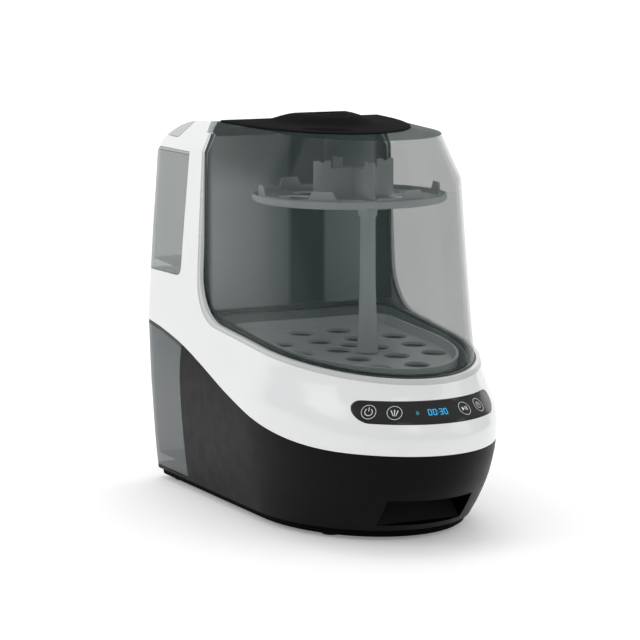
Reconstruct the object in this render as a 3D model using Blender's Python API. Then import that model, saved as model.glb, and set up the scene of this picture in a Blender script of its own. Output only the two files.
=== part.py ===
"""Countertop bottle washer and steriliser: casing, hinged cover, two tanks, racks and touch strip.

Sizes are millimetres in the functions and metres in the meshes. Front is -Y, X = 0 is the symmetry
plane, and Z = 0 is the table.
"""
import math

import bpy
import numpy as np
from mathutils import Vector

MM = 0.001
WIDE = 170.0              # half length of a cutter that passes right through the body
SKY = 520.0               # above everything
UNDER = -40.0             # below everything

# ---------------------------------------------------------------- main sizes
NOSE_Y = -29.0            # where the straight sides meet the half-ellipse of the nose
REAR_Y = 242.0            # rear plane of the body
REAR_CORNER = 13.0        # plan radius of the rear corners
COVER_REAR_Y = 105.4      # vertical rear edge of the cover
SHELL_FRONT_Y = 106.0     # front edge of the shell's column
BAY_FRONT_TOP = 144.0     # front edge of the tank bays, at the top
BAY_FRONT_LOW = 153.0     # and at the foot of the upper bay
CLEAN_FLOOR = 246.0       # lower edge of the upper bay
CLEAN_TOP = 386.5         # upper edge of the upper bay
WALL = 5.0                # shell
BASE_FOOT = 12.3          # lower edge of the base
CREASE_Z = 389.6          # side crease of the shell, at the column's front edge
TOP_Z = 418.9             # top plane at Y = 0
TOP_SLOPE = 0.027
TOP_OUTLINE = (112.0, 170.0, 93.0)   # half width, nose length and rear half width of the top plane
RIM_Z = 174.5             # height of the opening's edge at the front
RIM_SLOPE = 0.104
RIM_FRONT = -212.0
FILLET = 55.0             # lower rear corner of the cover, seen from the side
HINGE_Y = 110.0
HINGE_Z = 416.8
GRIP_LOW = 399.0          # lower edge of the rear grip
PANEL_X = (-69.0, -47.5, 30.0, 53.0)   # the four keys
PANEL_Z = 144.0
KEY_R = 8.4
CENTRE_Y = -18.0          # axis of the spray arm, the sump filter and the upper tray
TRAY_R = 105.5            # rim of the upper tray
TRAY_Z = 342.0            # its underside
TRAY_FLOOR = 346.0        # top of its plate
TAB_Z = 360.0             # top of its tabs
TAB_TURN = -74.0          # first gap between tabs, degrees from the rear
COLUMN_Y = -61.0          # steam column
HOLDER_Y = -28.0          # crossed plates on the tray
HORN_Z = 386.7            # top of their horns
RACK_BACK = 92.0          # rear edge of the lower rack, before its inset
RACK_PITCH = 46.0         # between the rack's holes
RACK_HOLES_Y = -38.0      # middle row of holes
SEAL_BACK = 99.0          # rear edge of the cover's seal, before its inset
VENT_Y = 24.0             # middle of the steam vent
VENT_SINK = 11.6          # floor of the vent's seat, over the top plane
PAD_LENGTH = 177.0        # black top pad, front to rear
PAD_CROWN = [(0.0, 0.35), (0.15, 1.3), (1.5, 2.1), (24.0, 2.8), (38.0, 3.8), (47.0, 6.0), (55.0, 9.2),
             (63.0, 11.8), (72.0, 13.0)]   # inset from the pad's outline, height over the top plane
TUB_FLOOR = 158.0
TUB_HALF = 104.0          # half width of the tub
TUB_NOSE = 164.0          # length of its nose
TUB_REAR = 104.0          # its rear wall
FLANGE_GAP = 5.6          # from the tub's flange to the outside of the body
TANK_Y = 190.0            # middle of both tanks, front to rear
TANK_FRONT = 146.6        # front face of the waste tank
PUMP_Y = 40.0             # axis of the wash pump
HEATER_Y = -76.0          # axis of the ring heater

# sections of the body: height, rear half width, nose half width, nose length
SECTION_FOOT = (12.0, 121.0, 118.0, 155.0)
SECTION_TUCK = (35.0, 123.5, 123.0, 177.0)
SECTION_FLARE = (67.0, 126.0, 127.5, 200.0)
SECTION_BELLY = (100.0, 128.0, 131.0, 211.0)
SECTION_FRONT = (118.0, 129.2, 131.7, 213.0)
SECTION_PANEL = (133.0, 129.8, 131.7, 206.0)
SECTION_PANEL_TOP = (157.0, 130.6, 127.0, 187.0)
SECTION_LIP = (172.0, 131.0, 121.5, 183.0)
SECTION_RIM = (190.0, 131.7, 120.0, 178.0)
SECTION_BAND = (235.0, 129.2, 119.0, 176.0)
SECTION_MID = (300.0, 124.8, 118.0, 176.0)
SECTION_HIGH = (345.0, 121.2, 117.0, 176.0)
SECTION_CREASE = (400.0, 117.2, 115.0, 176.0)
SECTIONS = np.array([SECTION_FOOT, SECTION_TUCK, SECTION_FLARE, SECTION_BELLY, SECTION_FRONT,
                     SECTION_PANEL, SECTION_PANEL_TOP, SECTION_LIP, SECTION_RIM, SECTION_BAND,
                     SECTION_MID, SECTION_HIGH, SECTION_CREASE])


def hermite(x, xs, ys):
    """Shape-preserving cubic through the stations."""
    x = np.clip(x, xs[0], xs[-1])
    h = np.diff(xs)
    d = np.diff(ys) / h
    m = np.zeros(len(xs))
    m[0] = d[0]
    m[-1] = d[-1]
    for i in range(1, len(xs) - 1):
        if d[i - 1] * d[i] > 0:
            m[i] = 2.0 * d[i - 1] * d[i] / (d[i - 1] + d[i])
    i = np.clip(np.searchsorted(xs, x, side="right") - 1, 0, len(h) - 1)
    t = (x - xs[i]) / h[i]
    a = (1 + 2 * t) * (1 - t) ** 2 * ys[i] + t * (1 - t) ** 2 * h[i] * m[i]
    return a + t * t * (3 - 2 * t) * ys[i + 1] + t * t * (t - 1) * h[i] * m[i + 1]


def section(z):
    return [hermite(z, SECTIONS[:, 0], SECTIONS[:, k]) for k in (2, 3, 1)]


def seam_z(y):
    """Height of the seam between the black base and the white shell."""
    s = np.clip((np.asarray(y, float) + 189.0) / 510.0, 0.0, 1.0)
    return 100.0 + 47.0 * (1.0 - np.cos(math.pi * s))


def rim_z(y):
    return RIM_Z + RIM_SLOPE * (y - RIM_FRONT)


def top_z(y):
    return TOP_Z + TOP_SLOPE * y


N_NOSE = 32
N_SIDE = 5
N_CORNER = 4
OUTLINE_POINTS = 2 * N_SIDE + 2 * N_CORNER + N_NOSE - 1


def plan(width, nose, rear_w, inset):
    """Plan outline, anticlockwise from the right side; each width is a number or one per point."""
    corner = max(REAR_CORNER - inset, 2.0)
    side = np.arange(N_SIDE) / N_SIDE
    arc = np.linspace(0.0, math.pi / 2, N_CORNER)
    nose_t = np.linspace(0.0, math.pi, N_NOSE + 1)
    w = np.broadcast_to(width, (OUTLINE_POINTS,)) - inset
    b = np.broadcast_to(nose, (OUTLINE_POINTS,)) - inset
    r = np.broadcast_to(rear_w, (OUTLINE_POINTS,)) - inset
    back = REAR_Y - inset
    x = np.zeros(OUTLINE_POINTS)
    y = np.zeros(OUTLINE_POINTS)
    k = 0
    for s in side:
        y[k] = NOSE_Y + s * (back - corner - NOSE_Y)
        x[k] = w[k] + (r[k] - w[k]) * (y[k] - NOSE_Y) / (back - NOSE_Y)
        k += 1
    for a in arc:
        x[k] = r[k] - corner + corner * math.cos(a)
        y[k] = back - corner + corner * math.sin(a)
        k += 1
    for a in arc[::-1]:
        x[k] = -(r[k] - corner + corner * math.cos(a))
        y[k] = back - corner + corner * math.sin(a)
        k += 1
    for s in side[::-1]:
        y[k] = NOSE_Y + s * (back - corner - NOSE_Y)
        x[k] = -(w[k] + (r[k] - w[k]) * (y[k] - NOSE_Y) / (back - NOSE_Y))
        k += 1
    for t in nose_t[1:-1]:
        x[k] = -w[k] * math.cos(t)
        y[k] = NOSE_Y - b[k] * math.sin(t)
        k += 1
    return x, y


def level(height, y):
    """Heights of an outline's points, where height is a number or a function of Y."""
    return np.array(np.broadcast_to(height(y) if callable(height) else height, y.shape), float)


def body_ring(height, inset):
    """Outline of the body at a height, found by repeating because the plan depends on the height."""
    y = np.zeros(OUTLINE_POINTS)
    for _ in range(5):
        x, y = plan(*section(level(height, y)), inset)
    return np.stack([x, y, level(height, y)], 1)


def crease_z(y):
    return CREASE_Z - 0.06 * (y - SHELL_FRONT_Y)


def body_top_ring(v, inset, drop):
    """Outline above the side crease: v runs from the crease (0) to the top plane (1)."""
    low = body_ring(lambda y: crease_z(y) - 0.4 * drop, inset)
    x, y = plan(*TOP_OUTLINE, inset)
    high = np.stack([x, y, top_z(y) - drop], 1)
    return low + (high - low) * v


def to_mesh(name, verts, faces):
    mesh = bpy.data.meshes.new(name)
    mesh.from_pydata([tuple(float(c) * MM for c in v) for v in verts], [], faces)
    mesh.validate()
    mesh.update()
    obj = bpy.data.objects.new(name, mesh)
    bpy.context.scene.collection.objects.link(obj)
    return obj


def loft(name, rings, closed=False):
    """Closed body through rings of equal point counts, with flat caps unless it closes on itself."""
    n = len(rings[0])
    verts = np.concatenate(rings)
    faces = []
    count = len(rings)
    for i in range(count if closed else count - 1):
        a = i * n
        b = ((i + 1) % count) * n
        for j in range(n):
            k = (j + 1) % n
            faces.append((a + j, a + k, b + k, b + j))
    if not closed:
        faces.append(tuple(range(n))[::-1])
        faces.append(tuple(range((count - 1) * n, count * n)))
    return to_mesh(name, verts, faces)


def prism(name, profile, low, high, axis="X"):
    """Straight prism. The profile is (Y, Z) for X, (X, Z) for Y and (X, Y) for Z."""
    rings = []
    for s in (low, high):
        ring = []
        for p, q in profile:
            ring.append({"X": (s, p, q), "Y": (p, s, q), "Z": (p, q, s)}[axis])
        rings.append(np.array(ring, float))
    obj = loft(name, rings)
    fix_normals(obj)
    return obj


def box(name, low, high):
    profile = [(low[0], low[1]), (high[0], low[1]), (high[0], high[1]), (low[0], high[1])]
    return prism(name, profile, low[2], high[2], "Z")


def fix_normals(obj):
    """Point the faces outwards by the sign of the enclosed volume."""
    mesh = obj.data
    volume = 0.0
    for poly in mesh.polygons:
        vs = [mesh.vertices[i].co for i in poly.vertices]
        for i in range(1, len(vs) - 1):
            volume += vs[0].dot(vs[i].cross(vs[i + 1]))
    if volume < 0:
        mesh.flip_normals()
    mesh.update()


def frame_for(axis):
    a = Vector(axis).normalized()
    side = Vector((0, 0, 1)) if abs(a.z) < 0.9 else Vector((1, 0, 0))
    u = side.cross(a).normalized()
    return u, a.cross(u), a


def lathe(name, profile, centre=(0, 0, 0), axis=(0, 0, 1), n=28, closed=False):
    """Turned body: (radius, height) pairs. A pair with radius 0 closes the end in a flat cap."""
    u, v, a = frame_for(axis)
    rings = []
    for r, h in profile:
        ring = []
        for k in range(n):
            t = 2 * math.pi * k / n
            p = Vector(centre) + a * h + u * (r * math.cos(t)) + v * (r * math.sin(t))
            ring.append(tuple(p))
        rings.append(np.array(ring))
    obj = loft(name, rings, closed)
    fix_normals(obj)
    return obj


def rod(name, start, end, r, n=20):
    d = Vector(end) - Vector(start)
    return lathe(name, [(r, 0.0), (r, d.length)], start, tuple(d), n)


def cut(obj, tools, how="DIFFERENCE"):
    """Exact Boolean with each tool in turn; the tools are used up."""
    for tool in tools:
        mod = obj.modifiers.new("cut", "BOOLEAN")
        mod.operation = how
        mod.solver = "EXACT"
        mod.object = tool
        tool.display_type = "WIRE"
        tool.hide_render = True
        bpy.context.view_layer.update()
        graph = bpy.context.evaluated_depsgraph_get()
        mesh = bpy.data.meshes.new_from_object(obj.evaluated_get(graph))
        obj.modifiers.clear()
        old = obj.data
        obj.data = mesh
        bpy.data.meshes.remove(old)
        bpy.data.objects.remove(tool, do_unlink=True)
    return obj


def body_solid(name, inset, low, top_drop=0.0, to=None):
    """The whole body as one solid, inset from the outside."""
    stops = [s for s in (20, 35, 50, 67, 84, 100, 110, 118, 126, 133, 145, 157, 165, 172, 181, 190, 212,
                         235, 268, 300, 345, 376) if low + 1.5 < s < (to or 400) - 1.5]
    rings = [body_ring(low, inset)]
    for s in stops:
        rings.append(body_ring(float(s), inset))
    if to:
        rings.append(body_ring(to, inset))
    else:
        for v in (0.0, 0.33, 0.66, 1.0):
            rings.append(body_top_ring(v, inset, top_drop))
    obj = loft(name, rings)
    fix_normals(obj)
    return obj


def rear_top(offset=0.0):
    """Side profile of everything behind and above the rounded rear top edge."""
    curve = [(243.0, 386.0), (237.0, 392.0), (228.0, 399.0), (215.0, 406.0), (200.0, 412.0),
             (183.0, 416.4), (162.0, 419.4), (117.0, 421.6)]
    pts = [(y - offset * 0.6, z - offset * 0.8) for y, z in curve]
    return [(300.0, pts[0][1])] + pts + [(117.0 - offset * 0.6, 480.0), (300.0, 480.0)]


def beside_curve(fn, gap, far, low=-330.0, high=300.0, n=60):
    """Side profile of all that lies between a curve, moved up by gap, and a far level."""
    pts = [(y, float(fn(y)) + gap) for y in np.linspace(low, high, n)]
    return pts + [(high, far), (low, far)]


def cover_profile(gap):
    """Side profile of the cover's space, grown by gap: the rim plane, a fillet and the rear edge."""
    y1 = COVER_REAR_Y + gap
    slope = math.atan(RIM_SLOPE)
    radius = FILLET - gap
    centre_y = y1 - radius
    centre_z = rim_z(centre_y) + 0.6 - gap + radius / math.cos(slope)
    pts = [(-330.0, rim_z(-330.0) + 0.6 - gap)]
    for k in range(9):
        a = -math.pi / 2 + slope + (math.pi / 2 - slope) * k / 8
        pts.append((centre_y + radius * math.cos(a), centre_z + radius * math.sin(a)))
    return pts + [(y1, SKY), (-330.0, SKY)]


def cover_ring(u, v, inset, drop=0.0):
    """Cover outline: u from the rim plane to the crease, v from the crease to the top plane."""
    w = 114.0 - 2.5 * u - 22.5 * v
    nose = 177.5 - 58.0 * u + 7.5 * u * u - 19.0 * v - 4.0 * v * (1 - v)
    rear = 118.5 - 2.5 * u - 13.6 * v
    t = np.linspace(0.0, math.pi, 41)
    back = 150.0 if drop else 140.0
    w, nose, rear = w - inset, nose - inset, rear - inset
    end = w + (rear - w) * (back - NOSE_Y) / (SHELL_FRONT_Y - NOSE_Y)
    side = [(w + (end - w) * s, NOSE_Y + (back - NOSE_Y) * s) for s in (0.25, 0.5, 0.75, 1.0)]
    pts = side + [(-x, y) for x, y in side[::-1]]
    pts += [(-w * math.cos(a), NOSE_Y - nose * math.sin(a)) for a in t]
    pts = np.array(pts)
    y = pts[:, 1]
    crease = 362.0 + 0.104 * (y + 159.0) - 0.3 * drop
    top = top_z(y) - drop
    low = rim_z(y) - 12.0
    if v:
        z = crease + (top - crease) * v
    else:
        z = low + (crease - low) * u
    return np.stack([pts[:, 0], y, z], 1)


def cover_solid(name, inset, drop=0.0):
    start = -0.05 if drop else 0.0
    rings = [cover_ring(u, 0.0, inset, drop) for u in (start, 0.2, 0.4, 0.6, 0.8, 0.92, 1.0)]
    rings += [cover_ring(1.0, v, inset, drop) for v in (0.3, 0.6, 0.85, 1.0)]
    obj = loft(name, rings)
    fix_normals(obj)
    return obj


def nose_surface(x, z):
    """Point on the nose's surface at a sideways position and height."""
    w, b, _ = section(np.array([z]))
    return Vector((x, NOSE_Y - b[0] * math.sqrt(max(1.0 - (x / w[0]) ** 2, 0.0)), z))


def nose_normal(x, z, e=0.5):
    du = nose_surface(x + e, z) - nose_surface(x - e, z)
    dv = nose_surface(x, z + e) - nose_surface(x, z - e)
    return du.cross(dv).normalized()


def nose_point(x, z, inset):
    return nose_surface(x, z) - nose_normal(x, z) * inset


def nose_patch(name, half, low, high, front, back, n=37):
    """Slab that follows the nose: rounded ends, front and back measured in from the surface."""
    mid = (low + high) / 2
    h = (high - low) / 2
    xs = [half * math.sin(math.pi / 2 * (2 * k / (n - 1) - 1)) for k in range(n)]
    rows = 4
    grid = []
    for depth in (front, back):
        for x in xs:
            over = max(abs(x) - (half - h), 0.0) / h
            reach = max(h * math.sqrt(max(1.0 - over * over, 0.0)), 0.8)
            for j in range(rows + 1):
                z = mid - reach + 2 * reach * j / rows
                grid.append(tuple(nose_point(x, z, depth)))
    faces = []
    m = rows + 1
    off = n * m
    for i in range(n - 1):
        for j in range(rows):
            a = i * m + j
            b = a + m
            faces.append((a, b, b + 1, a + 1))
            faces.append((off + a, off + a + 1, off + b + 1, off + b))
        a = i * m
        faces.append((a, off + a, off + a + m, a + m))
        a = i * m + rows
        faces.append((a, a + m, off + a + m, off + a))
    for j in range(rows):
        faces.append((j, j + 1, off + j + 1, off + j))
        a = (n - 1) * m + j
        faces.append((a, off + a, off + a + 1, a + 1))
    obj = to_mesh(name, grid, faces)
    fix_normals(obj)
    return obj


def paint(obj, rgb, rough=0.4, metal=0.0, alpha=1.0, transmission=0.0):
    mat = bpy.data.materials.new(obj.name + "_mat")
    mat.use_nodes = True
    node = mat.node_tree.nodes["Principled BSDF"]
    node.inputs["Base Color"].default_value = (*rgb, 1.0)
    node.inputs["Roughness"].default_value = rough
    node.inputs["Metallic"].default_value = metal
    node.inputs["Alpha"].default_value = alpha
    node.inputs["Transmission Weight"].default_value = transmission
    obj.data.materials.clear()
    obj.data.materials.append(mat)
    return obj


def place(obj, origin=None, parent=None):
    """Move the origin to a joint axis and hang the piece from its parent."""
    here = Vector(origin) * MM if origin else Vector((0, 0, 0))
    if origin:
        for v in obj.data.vertices:
            v.co = v.co - here
    base = Vector((0, 0, 0))
    if parent is not None:
        obj.parent = parent
        base = world_of(parent)
    obj.location = here - base
    return obj


def world_of(obj):
    spot = Vector(obj.location)
    while obj.parent is not None:
        obj = obj.parent
        spot = spot + Vector(obj.location)
    return spot


for old in list(bpy.data.objects):
    bpy.data.objects.remove(old, do_unlink=True)

WHITE = (0.86, 0.87, 0.87)
BLACK = (0.022, 0.022, 0.024)
SMOKE = (0.18, 0.23, 0.23)
CLEAR = (0.62, 0.66, 0.65)
MILK = (0.80, 0.84, 0.84)
STEEL = (0.62, 0.62, 0.60)
GREY = (0.55, 0.56, 0.56)
BOARD = (0.02, 0.12, 0.05)

# ---------------------------------------------------------------- base
base = body_solid("base_housing", 0.0, BASE_FOOT, to=215.0)
hollow = body_solid("hollow", 4.0, 16.3, to=225.0)
block_side = [(-300.0, 8.0), (-164.0, 8.0), (-122.0, 45.0), (-122.0, 55.0), (-300.0, 55.0)]
cut(hollow, [prism("block", block_side, -56.0, 56.0)])
cut(base, [hollow, prism("above", beside_curve(seam_z, 0.0, SKY), -WIDE, WIDE)])
cut(base, [box("bay", (-WIDE, 145.6, 16.0), (WIDE, 300.0, 300.0))])
recess_side = [(-310.0, 10.0), (-187.0, 10.0), (-130.0, 54.0), (-310.0, 54.0)]
recess = prism("recess", [(-50.0, 19.0), (50.0, 19.0), (50.0, 50.0), (-50.0, 50.0)], -300.0, -120.0, "Y")
cut(recess, [prism("slope", recess_side, -80.0, 80.0)], "INTERSECT")
cut(base, [recess])
paint(base, BLACK, 0.5)
place(base)

plate = loft("bottom_plate", [np.array([(p[0], p[1], z) for p in body_ring(12.0, i)])
                              for z, i in ((3.8, 8.0), (5.0, 6.0), (12.0, 5.0))])
fix_normals(plate)
paint(plate, BLACK, 0.6)
place(plate)
for x, y, tag in ((-68.0, -112.0, "front_left"), (68.0, -112.0, "front_right"),
                  (-96.0, 212.0, "rear_left"), (96.0, 212.0, "rear_right")):
    foot = lathe("foot_" + tag, [(11.0, 0.0), (12.0, 1.0), (12.0, 3.5)], (x, y, 0.0))
    paint(foot, (0.03, 0.03, 0.03), 0.8)
    place(foot)

# ---------------------------------------------------------------- shell
shell = body_solid("body_shell", 0.0, 92.0)
cut(shell, [prism("rear_top", rear_top(), -WIDE, WIDE)])
inner = body_solid("inner", WALL, 84.0, top_drop=WALL)
cut(inner, [prism("rear_top_in", rear_top(WALL), -WIDE, WIDE)])
cut(shell, [inner, prism("below", beside_curve(seam_z, 0.7, UNDER), -WIDE, WIDE)])
space = cover_profile(0.6)
space[-2:] = [(SHELL_FRONT_Y, 407.5), (HINGE_Y + 8.5, 409.5), (HINGE_Y + 8.5, SKY), (-330.0, SKY)]
cut(shell, [prism("cover_space", space, -WIDE, WIDE)])
corner = 11.0
window = [(BAY_FRONT_TOP, CLEAN_TOP)]
for k in range(6):
    a = math.pi + (math.pi / 2) * k / 5
    window.append((BAY_FRONT_LOW + corner * (1.0 + math.cos(a)), CLEAN_FLOOR + corner * (1.0 + math.sin(a))))
window += [(300.0, CLEAN_FLOOR), (300.0, CLEAN_TOP)]
cut(shell, [prism("window", window, -WIDE, WIDE)])
grip_space = [(192.0, GRIP_LOW), (164.0, 419.0), (164.0, 480.0), (320.0, 480.0), (320.0, GRIP_LOW)]
cut(shell, [prism("grip_space", grip_space, -WIDE, WIDE)])
cut(shell, [nose_patch("strip", 82.0, 132.8, 154.6, -6.0, 9.0)])
paint(shell, WHITE, 0.18)
place(shell)

grip = body_solid("rear_grip", 0.0, 300.0)
cut(grip, [prism("grip_top", rear_top(), -WIDE, WIDE)])
grip_in = body_solid("grip_in", 4.0, 290.0, top_drop=4.0)
cut(grip_in, [prism("grip_top_in", rear_top(4.0), -WIDE, WIDE)])
grip_core = [(199.0, 280.0), (199.0, GRIP_LOW + 0.1), (173.0, 417.5), (173.0, 470.0), (320.0, 470.0),
             (320.0, 280.0)]
cut(grip_in, [prism("grip_core", grip_core, -WIDE, WIDE)], "INTERSECT")
cut(grip, [grip_in])
grip_keep = [(192.9, GRIP_LOW + 0.5), (165.1, 419.2), (165.1, 475.0), (320.0, 475.0),
             (320.0, GRIP_LOW + 0.5)]
cut(grip, [prism("grip_keep", grip_keep, -WIDE, WIDE)], "INTERSECT")
paint(grip, (0.62, 0.63, 0.63), 0.45)
place(grip)


def inner_width(z, y, inset):
    w, _, r = section(np.array([z]))
    return float(w[0] + (r[0] - w[0]) * (y - NOSE_Y) / (REAR_Y - NOSE_Y)) - inset


def wall_plate(name, low, high, y0, y1, inset, step=9):
    zs = np.linspace(low, high, step)
    right = [(inner_width(z, y0, inset), z) for z in zs]
    left = [(-x, z) for x, z in right[::-1]]
    return prism(name, right + left, y0, y1, "Y")


bulkhead = wall_plate("rear_bulkhead", 16.8, 384.5, 139.5, 142.5, 6.0)
paint(bulkhead, WHITE, 0.4)
place(bulkhead)
shelf = loft("tank_shelf", [body_ring(z, 5.8) for z in (241.5, 245.0)])
fix_normals(shelf)
cut(shelf, [box("shelf_cut", (-200.0, -300.0, 200.0), (200.0, 143.2, 300.0))])
paint(shelf, WHITE, 0.4)
place(shelf)

# ---------------------------------------------------------------- front panel
lens = nose_patch("control_lens", 81.5, 133.4, 154.0, 0.5, 2.7)
for x, name in zip(PANEL_X, ("power", "wash", "start", "mode")):
    n = nose_normal(x, PANEL_Z)
    p = nose_point(x, PANEL_Z, 0.0)
    cut(lens, [rod("hole", tuple(p + n * 4), tuple(p - n * 6), KEY_R + 0.4, 28)])
    key = rod(name + "_key", tuple(p - n * 0.35), tuple(p - n * 2.6), KEY_R, 28)
    paint(key, (0.012, 0.012, 0.014), 0.2)
    place(key, tuple(p), shell)
paint(lens, (0.012, 0.012, 0.014), 0.12)
place(lens)
module = box("display_module", (-34.0, -206.0, 136.5), (12.0, -189.4, 151.0))
paint(module, (0.02, 0.02, 0.025), 0.4)
place(module)
panel_board = box("display_board", (-54.0, -189.0, 128.0), (54.0, -187.4, 155.0))
paint(panel_board, BOARD, 0.5)
place(panel_board)

# ---------------------------------------------------------------- cover
HINGE = (0.0, HINGE_Y, HINGE_Z)
cover = cover_solid("cover_shell", 0.0)
cut(cover, [cover_solid("cover_in", 3.0, 3.0)])
side = cover_profile(0.0)
side[-2:] = [(COVER_REAR_Y, 409.0), (103.0, 409.0), (103.0, SKY), (-330.0, SKY)]
cut(cover, [prism("cover_side", side, -WIDE, WIDE)], "INTERSECT")
paint(cover, SMOKE, 0.05, alpha=0.45, transmission=0.6)
place(cover, HINGE)


def pad_ring(inset, height):
    """Outline of the black top pad: a straight rear edge and a round nose, drawn in by the inset."""
    length = PAD_LENGTH - 1.75 * inset
    back = 102.6 - 0.75 * max(inset - 1.5, 0.0)
    ys = back - length * np.sin(np.linspace(0.0, math.pi / 2, 18))
    half = (98.0 - inset) * np.sqrt(1.0 - ((back - ys) / length) ** 2.3)
    right = [(max(h, 0.6), y) for h, y in zip(half[::-1], ys[::-1])]
    left = [(-x, y) for x, y in right[::-1]]
    return np.array([(x, y, float(top_z(y)) + height) for x, y in right + left])


pad = loft("cover_trim", [pad_ring(inset, height) for inset, height in PAD_CROWN])
fix_normals(pad)
seat_z = float(top_z(VENT_Y)) + VENT_SINK
cut(pad, [lathe("vent_seat", [(17.4, 0.0), (17.4, 20.0)], (0.0, VENT_Y, seat_z), n=32)])
paint(pad, (0.014, 0.014, 0.016), 0.18)
place(pad, HINGE, cover)
vent = lathe("steam_vent", [(17.0, 0.0), (17.0, 0.8), (16.5, 1.1)], (0.0, VENT_Y, seat_z + 0.35), n=32)
for k in range(7):
    r = 0.0 if k == 0 else 9.5
    a = math.pi / 3 * k
    spot = (r * math.cos(a), VENT_Y + r * math.sin(a), seat_z - 3.0)
    cut(vent, [lathe("vent_hole", [(1.7, 0.0), (1.7, 20.0)], spot, n=10)])
paint(vent, (0.014, 0.014, 0.016), 0.4)
place(vent, HINGE, cover)
barrel_shape = [(4.6, -91.0), (4.6, 91.0), (2.6, 91.0), (2.6, 66.0), (2.0, 66.0), (2.0, -66.0), (2.6, -66.0),
                (2.6, -91.0)]
barrel = lathe("hinge_barrel", barrel_shape, HINGE, (1.0, 0.0, 0.0), 20, closed=True)
paint(barrel, BLACK, 0.4)
place(barrel, HINGE, cover)
for side, tag in ((-1.0, "left"), (1.0, "right")):
    pin = lathe("hinge_pin_" + tag, [(2.5, 67.0), (2.5, 92.0), (4.4, 92.0), (4.4, 97.0)],
                HINGE, (side, 0.0, 0.0), 20)
    paint(pin, STEEL, 0.3, 1.0)
    place(pin)

# ---------------------------------------------------------------- tanks
tank_side = [(BAY_FRONT_TOP + 0.7, CLEAN_TOP - 3.6)]
for k in range(6):
    a = math.pi + (math.pi / 2) * k / 5
    tank_side.append((BAY_FRONT_LOW + 11.2 + 10.5 * math.cos(a), CLEAN_FLOOR + 11.2 + 10.5 * math.sin(a)))
tank_side += [(300.0, CLEAN_FLOOR + 0.7), (300.0, CLEAN_TOP - 3.6)]
tank = body_solid("clean_tank", 0.0, 225.0)
core = body_solid("clean_core", 3.0, 225.0)
core_side = [(BAY_FRONT_TOP + 4.0, 398.0), (BAY_FRONT_LOW + 4.5, CLEAN_FLOOR + 7.0),
             (300.0, CLEAN_FLOOR + 7.0), (300.0, 398.0)]
cut(core, [prism("core_side", core_side, -WIDE, WIDE)], "INTERSECT")
cut(tank, [prism("tank_side", tank_side, -WIDE, WIDE)], "INTERSECT")
cut(tank, [core, lathe("outlet", [(5.4, 0.0), (5.4, 40.0)], (0.0, TANK_Y, 230.0), n=20)])
paint(tank, CLEAR, 0.08, alpha=0.5, transmission=0.5)
place(tank, (0.0, TANK_Y, 300.0))
lid = body_solid("clean_tank_lid", 0.2, 225.0)
lid_side = [(BAY_FRONT_TOP + 0.7, CLEAN_TOP - 3.2), (300.0, CLEAN_TOP - 3.2), (300.0, CLEAN_TOP - 0.5),
            (BAY_FRONT_TOP + 0.7, CLEAN_TOP - 0.5)]
cut(lid, [prism("lid_side", lid_side, -WIDE, WIDE)], "INTERSECT")
paint(lid, GREY, 0.4)
place(lid, (0.0, TANK_Y, 300.0), tank)
valve = lathe("tank_valve", [(5.0, 246.5), (5.0, 253.9), (7.6, 254.2), (7.6, 257.0), (2.0, 259.5)],
              (0.0, TANK_Y, 0.0), n=20)
paint(valve, GREY, 0.4)
place(valve, (0.0, TANK_Y, 300.0), tank)

waste = body_solid("waste_tank", 0.0, 16.8, to=205.0)
waste_core = body_solid("waste_core", 3.0, 30.0, to=215.0)
cut(waste_core, [box("waste_core_cut", (-200.0, -300.0, 0.0), (200.0, 150.0, 300.0))])
cut(waste, [box("waste_cut", (-200.0, -300.0, 0.0), (200.0, TANK_FRONT, 300.0)), waste_core])
cut(waste, [prism("waste_top", beside_curve(seam_z, -3.6, SKY), -WIDE, WIDE)])
paint(waste, (0.42, 0.47, 0.50), 0.1, alpha=0.55, transmission=0.5)
place(waste, (0.0, TANK_Y, 60.0))
waste_lid = body_solid("waste_tank_lid", 0.2, 100.0, to=215.0)
cut(waste_lid, [box("lid_front", (-200.0, -300.0, 0.0), (200.0, TANK_FRONT, 300.0)),
                prism("lid_top", beside_curve(seam_z, -0.4, SKY), -WIDE, WIDE),
                prism("lid_low", beside_curve(seam_z, -3.2, UNDER), -WIDE, WIDE)])
paint(waste_lid, (0.10, 0.10, 0.11), 0.4)
place(waste_lid, (0.0, TANK_Y, 60.0), waste)
ball = lathe("waste_float", [(3.0, -9.0), (10.0, -8.0), (12.0, -5.0), (12.0, 5.0), (10.0, 8.0), (3.0, 9.0)],
             (60.0, 200.0, 42.0), n=20)
paint(ball, (0.75, 0.35, 0.12), 0.4)
place(ball, (60.0, 200.0, 42.0), waste)

# ---------------------------------------------------------------- chamber
def tub_ring(inset, height, rear=TUB_REAR):
    """Outline of the tub, on a level or on a function of Y."""
    t = np.linspace(0.0, math.pi, 41)
    w, nose = TUB_HALF - inset, TUB_NOSE - inset
    back = rear - inset
    pts = [(w, back * 0.2), (w, back * 0.55), (w, back - 16.0), (w - 5.0, back - 5.0), (w - 16.0, back)]
    pts = pts + [(-x, y) for x, y in pts[::-1]]
    pts += [(-w * math.cos(a), NOSE_Y - nose * math.sin(a)) for a in t]
    pts = np.array(pts)
    return np.stack([pts[:, 0], pts[:, 1], level(height, pts[:, 1])], 1)


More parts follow.
